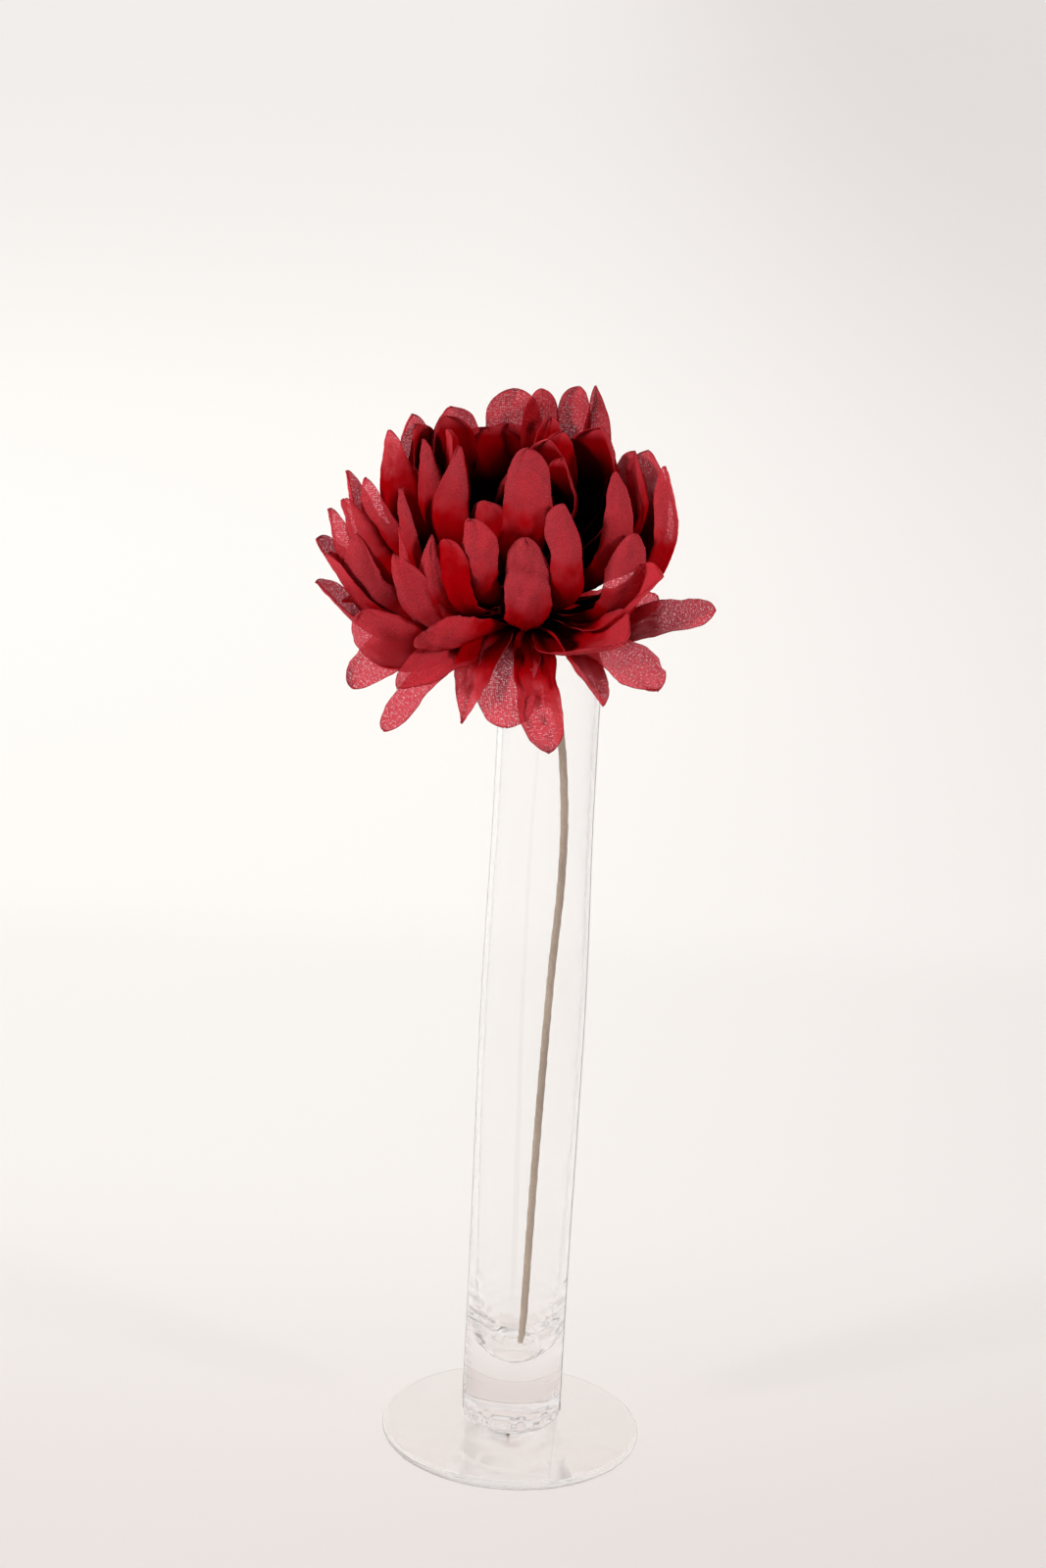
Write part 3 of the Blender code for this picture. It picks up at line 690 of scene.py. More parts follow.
def half_width(sheet, u, v):
    """A narrow claw, the widest part, a tip between round and pointed, and an uneven, nicked edge."""
    point = sheet.attribute("point")
    taper = 0.76 - 0.22 * point
    end = sheet.maths("MINIMUM", sheet.maths("MAXIMUM", (u - taper) / (1.0 - taper), 0.0), 1.0)
    round_tip = sheet.maths("SQRT", sheet.maths("MAXIMUM", 1.0 - end ** 3.0, 0.0))
    tip = (1.0 - point) * round_tip + point * (1.0 - end ** 1.7)
    widening = CLAW + (1.0 - CLAW) * sheet.ease(u / WIDEST_AT)
    number = sheet.attribute("petal")
    edge = sheet.maths("SIGN", v) * 3.0
    uneven = sheet.noise(sheet.vector(u * 5.0, edge, number * 7.3), 1.0)
    nicks = sheet.noise(sheet.vector(u * 17.0, edge, number * 2.9), 1.0)
    reach = sheet.attribute("width") * 0.5 * widening * tip * (0.76 + uneven * 0.28 + nicks * 0.20)
    return sheet.maths("MAXIMUM", reach, NARROWEST)


def crumple(sheet, inputs, u, v):
    """How far the cloth stands off its clean form, in millimetres."""
    number = sheet.attribute("petal")
    crease = sheet.attribute("crease")
    fold = sheet.attribute("fold")
    edge = sheet.maths("ABSOLUTE", v)

    def uneven(along, across, own, scale, detail):
        """Noise of about -0.5 to 0.5, stretched along and across, and of its own for every petal."""
        return sheet.noise(sheet.vector(u * along, v * across, number * own), scale, detail) - 0.5

    waves = uneven(2.6, 1.1, 5.1, 1.3, 1.0) * inputs["Ruffle"]
    waves = waves * sheet.ease(u, 0.1, 0.6) * (0.35 + edge * edge)
    wrinkles = uneven(7.0, 2.2, 3.7, 1.6, 2.0) * inputs["Wrinkle"]
    pleats = uneven(1.2, 3.2, 4.3, 1.0, 1.0) * inputs["Pleats"] * sheet.ease(u, 0.1, 0.5)
    buckles = uneven(16.0, 1.2, 9.1, 1.0, 1.0) * BUCKLES * sheet.ease(crease, 0.5, 1.5)
    buckles = buckles * sheet.ease(u, 0.2, 0.5)
    pressed = sheet.bell(v, 0.13) * -PRESSED_LINE * sheet.ease(u, 0.05, 0.3) * (1.0 - u * 0.7)
    from_fold = u + v * 0.05 - fold
    folded = sheet.bell(from_fold, 0.03) * FOLD_RIDGE - sheet.bell(from_fold - 0.07, 0.045) * FOLD_DENT
    folded = folded * (fold > 0.01) * (1.0 - edge * 0.4)
    return waves * (0.5 + crease) + wrinkles * (0.6 + crease) + pleats + buckles + pressed + folded

# %% [markdown]
# The last part of the tree bows each row into an arc and sets the points in their places. The strips are
# surfaces without thickness, and a Solidify modifier makes them cloth, with the cut edge on the rim.

# %% Petals
PETAL_ROWS = 38
PETAL_COLUMNS = 13
RUFFLE = 2.8               # mm, how far the edges wave
WRINKLE = 1.6              # mm, small dents
PLEATS = 1.8               # mm, folds along the petal
WANDER = 6.0               # mm, how far the middle line strays sideways
CLOTH_THICKNESS = 0.28 * MM


def petal_tree():
    """The tree that turns the points into cupped strips of cloth."""
    sheet, inputs, keys = new_geometry_sheet("petals", {
        "Rows": "NodeSocketInt", "Columns": "NodeSocketInt",
        "Ruffle": "NodeSocketFloat", "Wrinkle": "NodeSocketFloat", "Pleats": "NodeSocketFloat",
        "Wander": "NodeSocketFloat", "Cloth": "NodeSocketMaterial",
    })
    strips = flat_strips(sheet, inputs)
    s = sheet.attribute("s")
    v = sheet.attribute("v")
    u = sheet.sin(s * QUARTER_TURN)     # rows lie closer together towards the tip, so that it comes out round

    # across each row: an arc of the cup's angle, moved off the middle line by a slow wander
    reach = half_width(sheet, u, v)
    bow = sheet.attribute("cup") * RADIAN * (0.4 + 0.6 * sheet.ease(u / 0.3))
    wander = sheet.noise(sheet.vector(u * 2.4, sheet.attribute("petal") * 6.1, 0.0), 1.0, 1.0) - 0.5
    sideways = reach * sheet.sin(bow * v) / bow + wander * inputs["Wander"] * sheet.ease(u, 0.1, 0.6)
    inwards = reach * (1.0 - sheet.cos(bow * v)) / bow + crumple(sheet, inputs, u, v)
    side, inward = cross_directions(sheet, u)
    offset = sheet.vector(*[side[k] * sideways + inward[k] * inwards for k in range(3)])

    line = middle_line(sheet, inputs, s, u, v)
    place = sheet.vectors("ADD", sheet.attribute("root", "FLOAT_VECTOR"), line)
    place = sheet.scaled(sheet.vectors("ADD", place, offset), MM)
    flat_cloth = sheet.vector(reach * v, u * sheet.attribute("length"), 0.0)
    strips = sheet.store(strips, "u", u)
    strips = sheet.store(strips, "flat_cloth", flat_cloth, "FLOAT2", "CORNER")
    strips = sheet.node("GeometryNodeSetPosition", None, {"Geometry": strips, "Position": place})
    strips = sheet.node("GeometryNodeSetShadeSmooth", None, {"Geometry": strips})
    strips = sheet.node("GeometryNodeSetMaterial", None, {"Geometry": strips, "Material": inputs["Cloth"]})
    finish_geometry_sheet(sheet, strips)
    return sheet, keys


def make_petals():
    """All petals as one mesh, given their thickness by a modifier."""
    sheet, keys = petal_tree()
    piece = grow(petal_points(), sheet, keys, {
        "Rows": PETAL_ROWS, "Columns": PETAL_COLUMNS, "Ruffle": RUFFLE, "Wrinkle": WRINKLE,
        "Pleats": PLEATS, "Wander": WANDER, "Cloth": cloth_material,
    }, "petals")
    piece.data.materials.append(edge_material)
    thicken = piece.modifiers.new("cloth thickness", "SOLIDIFY")
    thicken.thickness = CLOTH_THICKNESS
    thicken.offset = 0.0
    thicken.material_offset_rim = 1
    return piece


bloom_petals = make_petals()
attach(bloom_petals, "root")
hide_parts("bloom")

# %% [markdown]
# Two pieces are round: the core in the flower, and the vase. A Screw modifier could turn them, but both are
# a little uneven all round, and plain mesh code can move every point. It makes rings of points from a
# profile and joins them with faces.

# %% Turned shapes


def turned_ring(form, radius, height, sides, wobble):
    """The points of one ring in millimetres, or the single point where a profile meets the axis."""
    if radius == 0.0:
        return [form.verts.new((0.0, 0.0, height * MM))]
    ring = []
    for k in range(sides):
        angle = math.tau * k / sides
        reach = radius + wobble(radius, height, angle)
        place = Vector((reach * math.cos(angle), reach * math.sin(angle), height))
        ring.append(form.verts.new(place * MM))
    return ring


def turned_mesh(name, profile, sides, wobble):
    """Turn a profile of (radius, height) into a closed mesh, from the axis to the axis."""
    form = bmesh.new()
    rings = [turned_ring(form, radius, height, sides, wobble) for radius, height in profile]
    for low, high in zip(rings, rings[1:]):
        for k in range(sides):
            n = (k + 1) % sides
            if len(low) == 1:
                form.faces.new((low[0], high[n], high[k]))
            elif len(high) == 1:
                form.faces.new((low[k], low[n], high[0]))
            else:
                form.faces.new((low[k], low[n], high[n], high[k]))
    bmesh.ops.recalc_face_normals(form, faces=form.faces)
    mesh = bpy.data.meshes.new(name)
    form.to_mesh(mesh)
    form.free()
    mesh.shade_smooth()
    return mesh


def between(start, end, steps):
    """The places that part the way from start to end into equal steps."""
    return [start + (end - start) * k / steps for k in range(1, steps)]

# %% [markdown]
# Under and between the petals is the core that they are threaded on. It is a small turned shape, covered
# with gathered cloth, with a plain hole for the stem. Only dark glimpses of it are seen.

# %% Core
HUB_BELOW = 2.6            # mm, as all sizes of the core
HUB_ABOVE = 19.0
HUB_RADIUS = 7.0
STEM_RADIUS = 1.15
CLEARANCE = 0.3
SOCKET_DEPTH = 7.0
CORE_SIDES = 72
# both colours are painted dark, as painted shade under the petals
CORE_DARK = (0.03, 0.001, 0.002, 1.0)
CORE_RED = (0.12, 0.003, 0.006, 1.0)


def core_profile():
    """From the bottom of the stem's hole, down its wall, out, and up to the domed top."""
    hole = STEM_RADIUS + CLEARANCE
    profile = [(0.0, SOCKET_DEPTH - HUB_BELOW), (hole, SOCKET_DEPTH - HUB_BELOW), (hole, -HUB_BELOW)]
    profile += [(0.6 * HUB_RADIUS, -HUB_BELOW), (0.9 * HUB_RADIUS, -0.7 * HUB_BELOW), (HUB_RADIUS, 0.0)]
    for share in between(0.0, 1.0, 12):
        profile.append((HUB_RADIUS * math.sqrt(1.0 - share ** 2.2), HUB_ABOVE * share))
    profile.append((0.0, HUB_ABOVE))
    return profile


def core_wrinkles(radius, height, angle):
    """Gathers of the cloth that covers the core."""
    if radius < 0.5 * HUB_RADIUS:
        return 0.0
    return 0.12 * math.sin(9 * angle + 0.4 * height) + 0.08 * math.sin(17 * angle)


def core_material():
    """The same dye on the same cloth, gathered, and painted dark with the shade under the petals."""
    material, sheet = new_material("core_cloth")
    place = sheet.object_place()
    patch = sheet.noise(place, 300.0, 3.0)
    fine = sheet.noise(place, 2200.0)
    relief = sheet.relief(fine, 0.4, 0.2 * MM)
    cloth = sheet.surface({
        "Base Color": sheet.mix_colour(patch, CORE_DARK, CORE_RED), "Roughness": 0.8 + patch * 0.1,
        "Normal": relief, "Specular IOR Level": 0.2,
    })
    sheet.show(cloth)
    return material


def make_core():
    """The core, stood up on its leaning axis."""
    mesh = turned_mesh("core", core_profile(), CORE_SIDES, core_wrinkles)
    stand = HUB_AXIS.to_track_quat("Z", "Y").to_matrix().to_4x4()
    mesh.transform(Matrix.Translation(HUB_FOOT * MM) @ stand)
    mesh.materials.append(core_material())
    return placed("core", mesh)


core = make_core()
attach(core, "root")
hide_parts("bloom")
print("core", len(core.data.polygons), "faces")

# %% [markdown]
# The stem is a steel wire. It stands on the floor of the bore, bows in the tube, leans on the rim and ends in
# the core. A smooth curve through a few places gives its line, and the last places lie on the core's own
# axis, so that the wire goes straight into its hole.

# %% Wire
STEM_ROUTE = (
    (2.2, -2.0, 27.7), (2.6, -1.8, 60.0), (3.4, -2.5, 102.0), (4.7, -4.2, 150.0), (6.1, -5.4, 180.0),
    (5.7, -6.7, 205.0), (3.0, -7.6, 229.0), (-2.2, -7.6, 243.0),
)
STRAIGHT_END = (9.0, 6.5, 4.5)      # mm under the petals, where the wire already points into the core
STEM_STEPS = 8                      # points of the smooth curve for each route point


def stem_route():
    """The wire's route points, the last four of them on the core's axis."""
    route = [Vector(place) for place in STEM_ROUTE]
    route += [HUB_FOOT - HUB_AXIS * below for below in STRAIGHT_END]
    route.append(HUB_FOOT + HUB_AXIS * (SOCKET_DEPTH - HUB_BELOW - CLEARANCE))
    return route


def smooth_points(points, steps):
    """Points along a Catmull-Rom curve through the given ones."""
    ends = [points[0] * 2 - points[1]] + list(points) + [points[-1] * 2 - points[-2]]
    out = []
    for k in range(1, len(ends) - 2):
        a, b, c, d = ends[k - 1], ends[k], ends[k + 1], ends[k + 2]
        for s in range(steps):
            t = s / steps
            out.append(0.5 * (2 * b + (c - a) * t + (2 * a - 5 * b + 4 * c - d) * t ** 2
                              + (3 * b - a - 3 * c + d) * t ** 3))
    out.append(ends[-2])
    return out


def stem_curve():
    """The wire as a curve of straight steps."""
    points = smooth_points(stem_route(), STEM_STEPS)
    data = bpy.data.curves.new("wire", "CURVE")
    data.dimensions = "3D"
    spline = data.splines.new("POLY")
    spline.points.add(len(points) - 1)
    for knot, place in zip(spline.points, points):
        knot.co = (*(place * MM), 1.0)
    return placed("wire", data)

# %% [markdown]
# The wire is wound with paper tape. The tape goes round in a steep spiral, and each turn covers the edge of
# the one below, so the surface climbs a little and then drops at the next edge. A tree follows the wire: it
# lays a ring of points along it and lifts them by that saw-tooth.

# %% Wound tape
STEM_RING = 20             # points round the stem
STEM_STRIDE = 0.45         # mm between two rings
TAPE_PITCH = 7.5           # mm along the stem for one turn of the tape
TAPE_STEP = 0.13           # mm from one layer of the tape to the next
TAPE_CRINKLE = 0.12        # mm


def tape_tree():
    """A ring swept along the wire and lifted by the overlap of the tape."""
    sheet, inputs, keys = new_geometry_sheet("wound tape", {
        "Radius": "NodeSocketFloat", "Ring": "NodeSocketInt", "Stride": "NodeSocketFloat",
        "Pitch": "NodeSocketFloat", "Step": "NodeSocketFloat", "Tape": "NodeSocketMaterial",
    })
    wire = sheet.node("GeometryNodeResampleCurve", {"mode": "LENGTH"},
                      {"Curve": inputs["Geometry"], "Length": inputs["Stride"]})
    wire = sheet.store(wire, "along", sheet.node("GeometryNodeSplineParameter", output="Length"))
    ring = sheet.node("GeometryNodeCurvePrimitiveCircle", {"mode": "RADIUS"},
                      {"Resolution": inputs["Ring"], "Radius": inputs["Radius"]})
    ring = sheet.store(ring, "around", sheet.node("GeometryNodeSplineParameter", output="Factor"))
    tube = sheet.node("GeometryNodeCurveToMesh", None,
                      {"Curve": wire, "Profile Curve": ring, "Fill Caps": True})
    wound = sheet.maths("FRACT", sheet.attribute("along") / inputs["Pitch"] + sheet.attribute("around"))
    crinkle = (sheet.noise(sheet.node("GeometryNodeInputPosition"), 700.0, 3.0) - 0.5) * (TAPE_CRINKLE * MM)
    lift = (wound - 0.8) * inputs["Step"] + crinkle
    tube = sheet.node("GeometryNodeSetPosition", None, {
        "Geometry": tube, "Offset": sheet.scaled(sheet.node("GeometryNodeInputNormal"), lift)})
    tube = sheet.store(tube, "wound", wound)
    tube = sheet.node("GeometryNodeSetShadeSmooth", None, {"Geometry": tube})
    tube = sheet.node("GeometryNodeSetMaterial", None, {"Geometry": tube, "Material": inputs["Tape"]})
    finish_geometry_sheet(sheet, tube)
    return sheet, keys

# %% [markdown]
# Crepe paper is matte and blotched, and a shadow lies along each edge of the tape. The tree stored how far
# round the tape each point is, so the shadow lands exactly on the step.

# %% Stem
TAPE_DARK = (0.157, 0.116, 0.084, 1.0)
TAPE_PALE = (0.265, 0.208, 0.158, 1.0)


def paper_tape():
    """Brown crepe paper, darker just above each edge of the tape."""
    material, sheet = new_material("paper_tape")
    place = sheet.object_place()
    wound = sheet.node("ShaderNodeAttribute", {"attribute_name": "wound"}, output="Fac")
    crepe = sheet.noise(place, 1800.0, 3.0, 0.6)
    patch = sheet.noise(place, 60.0, 3.0)
    tone = sheet.ease(crepe * 0.5 + patch * 0.5, 0.3, 0.7)
    colour = sheet.mix_colour(tone, TAPE_DARK, TAPE_PALE)
    shadow = sheet.ease(wound, 0.0, 0.12) * 0.35 + 0.65
    grey = sheet.node("ShaderNodeCombineColor", None, {0: shadow, 1: shadow, 2: shadow})
    colour = sheet.mix_colour(1.0, colour, grey, "MULTIPLY")
    relief = sheet.relief(crepe, 0.5, 0.1 * MM)
    paper = sheet.surface({
        "Base Color": colour, "Roughness": 0.7 + crepe * 0.15, "Normal": relief, "Specular IOR Level": 0.3,
    })
    sheet.show(paper)
    return material


def make_stem():
    """The wound stem as one mesh."""
    sheet, keys = tape_tree()
    return grow(stem_curve(), sheet, keys, {
        "Radius": STEM_RADIUS * MM, "Ring": STEM_RING, "Stride": STEM_STRIDE * MM,
        "Pitch": TAPE_PITCH * MM, "Step": TAPE_STEP * MM, "Tape": paper_tape(),
    }, "taped_stem")


stem = make_stem()
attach(stem, "root")
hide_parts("stem")

# %% [markdown]
# The vase is one piece of hand-worked glass: a flat disc foot, a solid plug, and a tube with a round bottom
# to its bore. Clear glass is only seen by what it bends, so its form has to be exact: the wall gets thicker
# towards the bottom, and the edges are melted round.

# %% Profile of the vase
VASE_HEIGHT = 255.0          # mm, as all sizes of the vase
FOOT_RADIUS = 39.2
FOOT_EDGE = 2.6              # how thick the disc is at its edge
FOOT_MIDDLE = 6.0            # and where it meets the tube
FOOT_CORNER = 2.2
SLOPE_DROP = 1.2             # the foot's slope ends this much lower, outside the tube
UNDER_CORNER = 0.6           # and dips this much under the tube's corner
TUBE_LOW = 15.0              # outer radius at the bottom
TUBE_SWELL = 15.55           # at its widest
TUBE_TOP = 14.75             # and at the rim
SWELL_HEIGHT = 142.0
TOP_STRAIGHT_FROM = 205.0
WALL_TOP = 1.5
WALL_LOW = 2.6
BORE_FLOOR = 26.0
BORE_ROUND = 24.0            # how high above its floor the bore is still rounding out


def ease(t):
    """Smooth step from 0 to 1."""
    t = min(max(t, 0.0), 1.0)
    return t * t * (3.0 - 2.0 * t)


def tube_radius(height):
    """Outer radius of the tube, with its slight swell."""
    if height < SWELL_HEIGHT:
        share = ease((height - 0.35 * SWELL_HEIGHT) / (0.65 * SWELL_HEIGHT))
        return TUBE_LOW + (TUBE_SWELL - TUBE_LOW) * share
    share = ease((height - SWELL_HEIGHT) / (TOP_STRAIGHT_FROM - SWELL_HEIGHT))
    return TUBE_SWELL + (TUBE_TOP - TUBE_SWELL) * share


def wall(height):
    """Thickness of the glass beside the bore."""
    share = ease((height - BORE_FLOOR) / (0.35 * VASE_HEIGHT))
    return WALL_LOW + (WALL_TOP - WALL_LOW) * share


def arc(centre_r, centre_z, radius_r, radius_z, start, end, steps):
    """Points of an elliptical arc in a profile, its angles in degrees from the outward direction."""
    points = []
    for k in range(steps + 1):
        angle = math.radians(start + (end - start) * k / steps)
        points.append((centre_r + radius_r * math.cos(angle), centre_z + radius_z * math.sin(angle)))
    return points


def vase_profile():
    """From the middle of the underside, round the foot, up the tube, over the rim and down the bore."""
    edge = FOOT_EDGE / 2
    foot_from = FOOT_RADIUS - edge
    foot_to = TUBE_LOW + 1.0
    profile = [(0.0, 0.0), (10.0, 0.0), (24.0, 0.0)]
    profile += arc(foot_from, edge, edge, edge, -90, 90, 16)
    for share in between(0.0, 1.0, 8) + [1.0]:
        profile.append((foot_from + (foot_to - foot_from) * share,
                        FOOT_EDGE + (FOOT_MIDDLE - SLOPE_DROP - FOOT_EDGE) * share))
    tube_from = FOOT_MIDDLE + FOOT_CORNER
    profile.append((TUBE_LOW - FOOT_CORNER, FOOT_MIDDLE - UNDER_CORNER))
    profile += arc(TUBE_LOW - FOOT_CORNER, tube_from, FOOT_CORNER, FOOT_CORNER, -60, 0, 8)
    lip = WALL_TOP / 2
    tube_to = VASE_HEIGHT - lip
    for height in between(tube_from, tube_to, 100):
        profile.append((tube_radius(height), height))
    profile += arc(TUBE_TOP - lip, tube_to, lip, lip, 0, 180, 12)
    bore_to = BORE_FLOOR + BORE_ROUND
    for height in between(tube_to, bore_to, 110):
        profile.append((tube_radius(height) - wall(height), height))
    profile += arc(0.0, bore_to, TUBE_LOW - WALL_LOW, BORE_ROUND, 0, -86, 50)
    profile.append((0.0, BORE_FLOOR))
    return profile


print("profile", len(vase_profile()), "points")

# %% [markdown]
# A tube straight from a formula looks like plastic. Real glass keeps traces of the work: slow waves in the
# wall, rings and notches where the plug was joined to the foot, and ripples that the tool left at the
# bottom of the bore. They are part of the form here, because light bends at real slopes.

# %% Traces of the work
SLOW_WAVES = (0.09, 0.05)    # mm, two waves all along the tube
RIPPLES = 0.26               # mm, near the floor of the bore
RINGS = 0.06                 # mm, round the plug
NOTCHES = 0.16               # mm, where the plug meets the foot


def hand_worked(radius, height, angle):
    """Small unevenness, in mm: slow waves in the tube, rings and notches low down, ripples in the bore."""
    slow = (SLOW_WAVES[0] * math.sin(2 * angle + 0.02 * height)
            + SLOW_WAVES[1] * math.sin(3 * angle - 0.035 * height))
    in_bore = radius < tube_radius(height) - 0.6 and height > BORE_FLOOR
    if in_bore:
        near_floor = math.exp(-((height - BORE_FLOOR) / 22.0) ** 2)
        ripple = math.sin(1.5 * height + 1.1 * math.sin(3 * angle)) + 0.9 * math.sin(6 * angle + 0.6 * height)
        sides = math.cos(angle) ** 2
        return slow + RIPPLES * near_floor * ripple * sides * min(1.0, (radius / 12.0) ** 2)
    if height < FOOT_EDGE or radius > TUBE_LOW + 1.5:
        return 0.0
    above_foot = math.exp(-((height - 15.0) / 6.0) ** 2)
    rings = RINGS * above_foot * (math.sin(2.9 * height) + math.sin(5.3 * height))
    join = math.exp(-((height - FOOT_MIDDLE - 1.0) / 2.2) ** 2)
    notches = math.sin(13 * angle) + math.sin(7 * angle + 1.0) + math.sin(22 * angle)
    return slow + rings + NOTCHES * join * notches

# %% [markdown]
# One glass shader would do, but long paths of light in the thick foot end black. So a ray that has met many
# walls goes straight out, and light for the floor and the cloth passes without bending. Seen edge on, a wall
# is drawn with a grey outline, a little darker on the right: painted shade on the edges of the glass.

# %% Clear glass
GLASS_SHADOW = (0.998, 0.997, 0.997, 1.0)   # how much lamp light a wall lets through to the floor
GLASS_OUTLINE = (0.32, 0.30, 0.30, 1.0)     # seen edge on, a wall gets this painted shade
THIN_GLASS = (0.995, 0.995, 0.995, 1.0)
PLUG_GLASS = (0.87, 0.82, 0.82, 1.0)        # the solid lower end is thick enough to show its tint
FOOT_GLASS = (0.95, 0.925, 0.912, 1.0)
FOOT_TO_PLUG = (4 * MM, 10 * MM)            # heights between which one tint turns into the next
PLUG_TO_TUBE = (12 * MM, 30 * MM)
BANDS_END = (20 * MM, 60 * MM)              # and between which the bands of the plug fade out
OUTLINED_WALLS = 2.5                        # walls met by a ray before the outline is left out
LAST_WALL = 8.5                             # and before the ray goes straight out


def solid_glass(sheet, place):
    """Bending, mirroring glass with faint waves and smears, tinted where it is thick."""
    x, y, z = sheet.parts(place)
    bands = sheet.noise(sheet.vector(x * 6.0, y * 6.0, z * 260.0), 1.0)
    near_plug = 1.0 - sheet.ease(z, *BANDS_END)
    waves = sheet.noise(place, 45.0) * 0.5 + bands * near_plug * 0.9
    relief = sheet.relief(waves, 0.3, 0.6 * MM)
    smear = sheet.noise(place, 120.0, 3.0)
    thick = sheet.mix_colour(sheet.ease(z, *FOOT_TO_PLUG), FOOT_GLASS, PLUG_GLASS)
    return sheet.surface({
        "Base Color": sheet.mix_colour(sheet.ease(z, *PLUG_TO_TUBE), thick, THIN_GLASS),
        "Roughness": sheet.ease(smear, 0.55, 0.9) * 0.03,
        "IOR": 1.5, "Transmission Weight": 1.0, "Normal": relief,
    })


def clear_glass():
    """Glass with a grey outline of painted shade, which lets soft light and long paths of light pass
    straight.
    """
    material, sheet = new_material("clear_glass")
    place = sheet.object_place()
    grazing = sheet.node("ShaderNodeLayerWeight", None, {"Blend": 0.5}, "Facing")
    lamp_ray, soft_ray, walls_met = [sheet.node("ShaderNodeLightPath", output=name)
                                     for name in ("Is Shadow Ray", "Is Diffuse Ray", "Ray Depth")]
    outline = sheet.see_through(GLASS_OUTLINE)
    face_x, _, _ = sheet.parts(sheet.node("ShaderNodeNewGeometry", output="Normal"))
    # painted shade: the outline is darker where the wall faces to the right
    darker_right = 0.5 + sheet.ease(face_x, -0.5, 0.5) * 0.5
    edge_on = sheet.ease(grazing, 0.76, 0.97) * (walls_met < OUTLINED_WALLS) * darker_right
    drawn = sheet.mix_shader(edge_on, solid_glass(sheet, place), outline)
    open_way = sheet.see_through(GLASS_SHADOW)
    passing = sheet.maths("MAXIMUM", sheet.maths("MAXIMUM", lamp_ray, soft_ray), walls_met > LAST_WALL)
    sheet.show(sheet.mix_shader(passing, drawn, open_way))
    return material

# %% [markdown]
# Then the profile is turned. Only the groove where the tube stands on the foot keeps a hard edge, and all the
# rest is shaded smooth.

# %% Vase
GLASS_SIDES = 160
HARD_CORNER = 50             # degrees, from which two faces meet in a hard edge


def make_vase():
    """The turned vase, with the groove at the foot of the tube kept sharp."""
    mesh = turned_mesh("glass_vase", vase_profile(), GLASS_SIDES, hand_worked)
    mesh.set_sharp_from_angle(angle=math.radians(HARD_CORNER))
    mesh.materials.append(clear_glass())
    return placed("glass_vase", mesh)


vase = make_vase()
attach(vase, "root")
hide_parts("vase")
print("vase", len(vase.data.polygons), "faces")

# %% [markdown]
# The floor is one large pale sheet, so that every view sees the same clean ground. Its colour carries painted
# light and shade: it gets paler behind the vase, with a soft step where a card would begin to curve up, and
# it is a little duller far away and to the right.

# %% Floor
FLOOR_HALF = 9.0
FLOOR_HEIGHT = -0.0004               # the glass rests on a film of air, not inside the floor
# painted light and shade: darker near the camera, paler behind the vase
FLOOR_NEAR = (0.81, 0.765, 0.75, 1.0)
FLOOR_MIDDLE = (0.90, 0.88, 0.86, 1.0)
FLOOR_BEHIND = (0.935, 0.915, 0.895, 1.0)
FAR_SHADE = (0.96, 0.96, 0.965, 1.0)    # these two darken what is under them
RIGHT_SHADE = (0.86, 0.845, 0.85, 1.0)
UNDER_VASE = (-0.1, 0.2)                # metres, the bands in which one shade turns into the next
BACKDROP_STEP = (0.39, 0.50)
FAR_AWAY = (1.2, 4.0)
TO_THE_RIGHT = (-0.1, 0.5)


def pale_card():
    """Matte card, with painted light and shade that depend on the place."""
    material, sheet = new_material("pale_floor")
    x, y, _ = sheet.parts(sheet.object_place())
    colour = sheet.mix_colour(sheet.ease(y, *UNDER_VASE), FLOOR_NEAR, FLOOR_MIDDLE)
    colour = sheet.mix_colour(sheet.ease(y, *BACKDROP_STEP), colour, FLOOR_BEHIND)
    colour = sheet.mix_colour(sheet.ease(y, *FAR_AWAY), colour, FAR_SHADE, "MULTIPLY")
    colour = sheet.mix_colour(sheet.ease(x, *TO_THE_RIGHT), colour, RIGHT_SHADE, "MULTIPLY")
    sheet.show(sheet.surface({"Base Color": colour, "Roughness": 0.9, "Specular IOR Level": 0.1}))
    return material


def make_floor():
    """One square of card, far larger than any view."""
    mesh = bpy.data.meshes.new("floor")
    corners = ((-1, -1), (1, -1), (1, 1), (-1, 1))
    places = [(x * FLOOR_HALF, y * FLOOR_HALF, FLOOR_HEIGHT) for x, y in corners]
    mesh.from_pydata(places, [], [(0, 1, 2, 3)])
    mesh.materials.append(pale_card())
    placed("floor", mesh)


make_floor()
print("floor", 2 * FLOOR_HALF, "m wide")

# %% [markdown]
# Two low suns stand for windows, one to the left and a weaker one to the right. They are as wide as windows,
# so the shadows are soft. A lamp over the far left makes the backdrop brightest there.

# %% Lamps
DAYLIGHT = (1.0, 0.985, 0.97)
SWEEP_COLOUR = (1.0, 0.995, 0.98)
WINDOW_WIDTH = 14.0        # degrees
SWEEP_WIDTH = 0.9          # metres


def lamp(kind, name, strength, colour, place, aim=Vector((0.0, 0.0, 0.0))):
    """A lamp at a place, turned so that it shines at its aim."""
    data = bpy.data.lights.new(name, kind)
    data.energy = strength
    data.color = colour
    data.cycles.use_multiple_importance_sampling = False
    holder = placed(name, data)
    holder.location = place
    holder.rotation_euler = (Vector(place) - aim).to_track_quat("Z", "Y").to_euler()
    return data


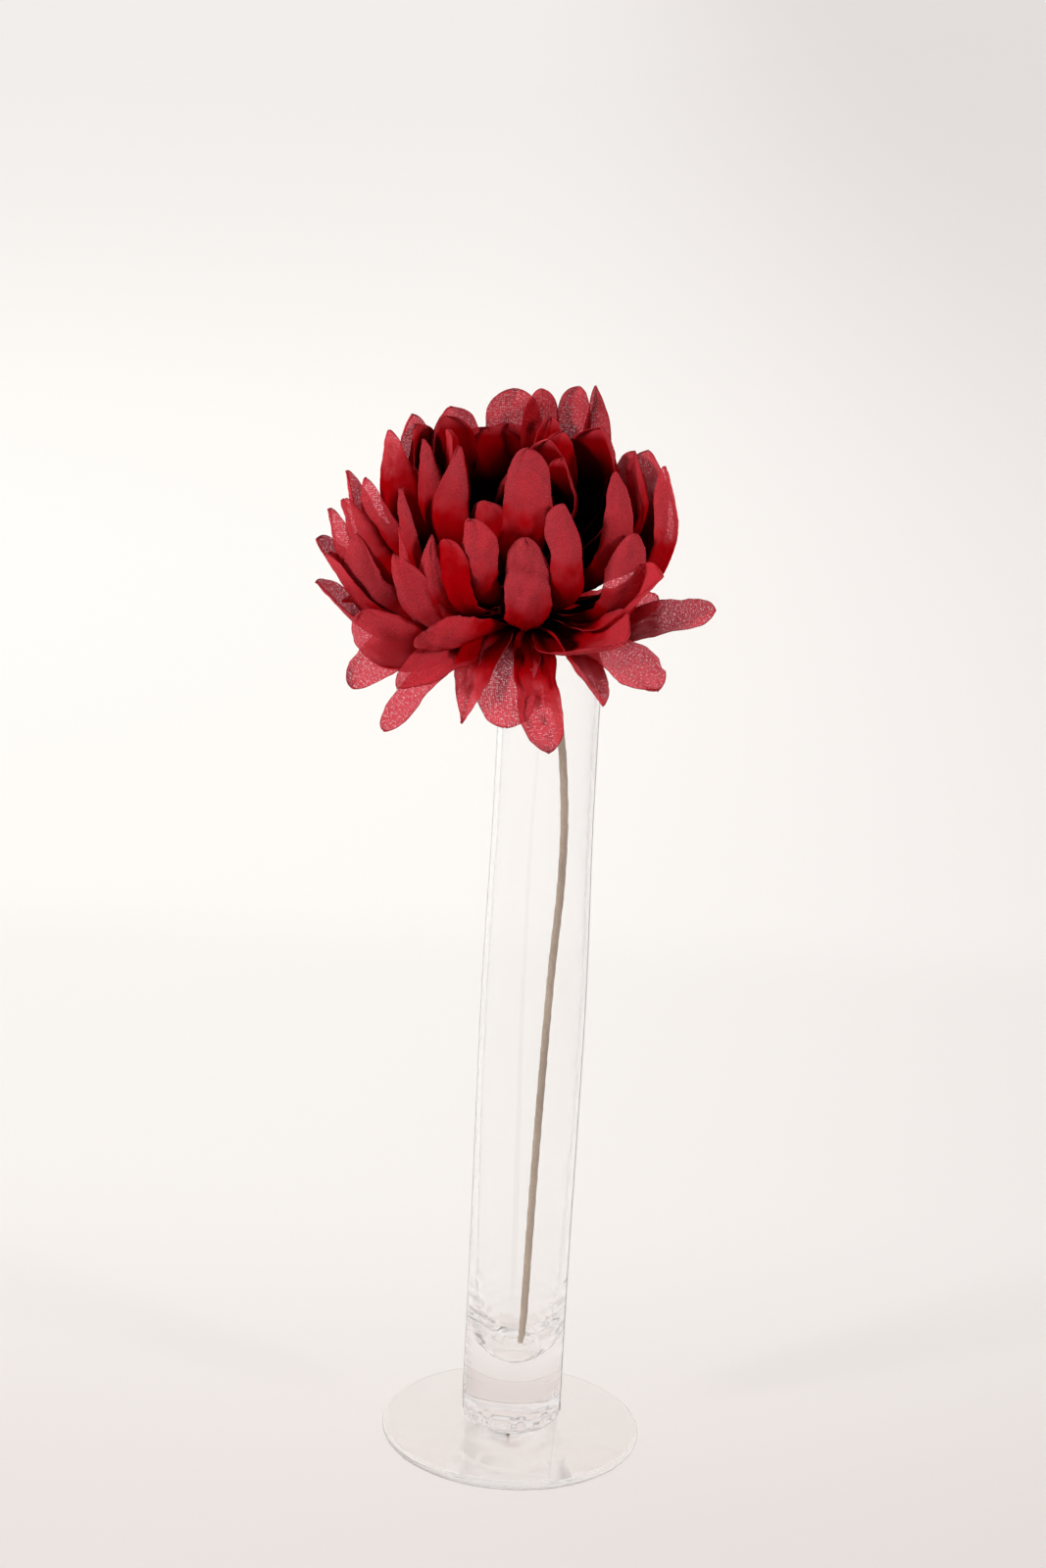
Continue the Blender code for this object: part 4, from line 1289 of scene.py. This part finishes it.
left_window = lamp("SUN", "left window", strength=4.4, colour=DAYLIGHT, place=(-1.6, -1.0, 0.62))
right_window = lamp("SUN", "right window", strength=3.3, colour=DAYLIGHT, place=(1.68, -0.84, 0.64))
left_window.angle = math.radians(WINDOW_WIDTH)
right_window.angle = math.radians(WINDOW_WIDTH)
sweep_lamp = lamp("AREA", "sweep lamp", strength=2.2, colour=SWEEP_COLOUR,
                  place=(-0.65, 1.05, 1.2), aim=Vector((-0.12, 0.72, 0.0)))
sweep_lamp.size = SWEEP_WIDTH

# %% [markdown]
# The surround gives the rest of the light, mostly from behind. Glass sees a surround of its own, bright on
# the left and dark on the right, because its edges are only drawn where it bends something dark into view.

# %% Surround
WORLD_BRIGHT = 0.55
WORLD_DARK = 0.04
BRIGHT_SIDE = (-0.30, 0.92, 0.15)      # the direction from which the cloth and the floor get most light
SEEN_SIDE = (-0.8, 0.5)                # and the one in which glass sees the bright part
SEEN_BRIGHT = 0.9          # what glass mirrors and bends
SEEN_DARK = 0.25
SKY = 0.86                 # beyond the floor's edge, as bright as the floor


def soft_surround():
    """The world: one brightness for the cloth and floor, one for what glass sees, one for the camera."""
    world = bpy.data.worlds.new("soft_surround")
    world.use_nodes = True
    world.node_tree.nodes.clear()
    sheet = Sheet(world.node_tree)
    x, y, z = sheet.parts(sheet.node("ShaderNodeTexCoord", output="Generated"))
    facing = x * BRIGHT_SIDE[0] + y * BRIGHT_SIDE[1] + z * BRIGHT_SIDE[2]
    lighting = sheet.ease(facing, -0.1, 0.9) * (WORLD_BRIGHT - WORLD_DARK) + WORLD_DARK
    seen = sheet.ease(x * SEEN_SIDE[0] + y * SEEN_SIDE[1], -0.9, 0.2) * (SEEN_BRIGHT - SEEN_DARK) + SEEN_DARK
    straight = sheet.node("ShaderNodeLightPath", output="Is Camera Ray")
    seen = straight * SKY + (1.0 - straight) * seen
    soft_ray = sheet.node("ShaderNodeLightPath", output="Diffuse Depth") > 0.5
    strength = soft_ray * lighting + (1.0 - soft_ray) * seen
    shade = sheet.node("ShaderNodeBackground", None, {"Color": (*DAYLIGHT, 1.0), "Strength": strength})
    sheet.show(shade, "ShaderNodeOutputWorld")
    bpy.context.scene.world = world


soft_surround()
print("surround from", WORLD_DARK, "to", WORLD_BRIGHT)

# %% [markdown]
# Light that is caught inside the glass turns many corners before it comes out, so the renderer has to follow
# it for longer than it usually would. Bright spots thrown by glass are left out, because they only add grain.

# %% Paths of light
bpy.context.scene.view_settings.view_transform = "Standard"
cycles = bpy.context.scene.cycles
cycles.max_bounces = 24
cycles.glossy_bounces = 16
cycles.transmission_bounces = 20
cycles.transparent_max_bounces = 24
cycles.caustics_refractive = False
cycles.caustics_reflective = False
print("up to", cycles.max_bounces, "turns of a ray")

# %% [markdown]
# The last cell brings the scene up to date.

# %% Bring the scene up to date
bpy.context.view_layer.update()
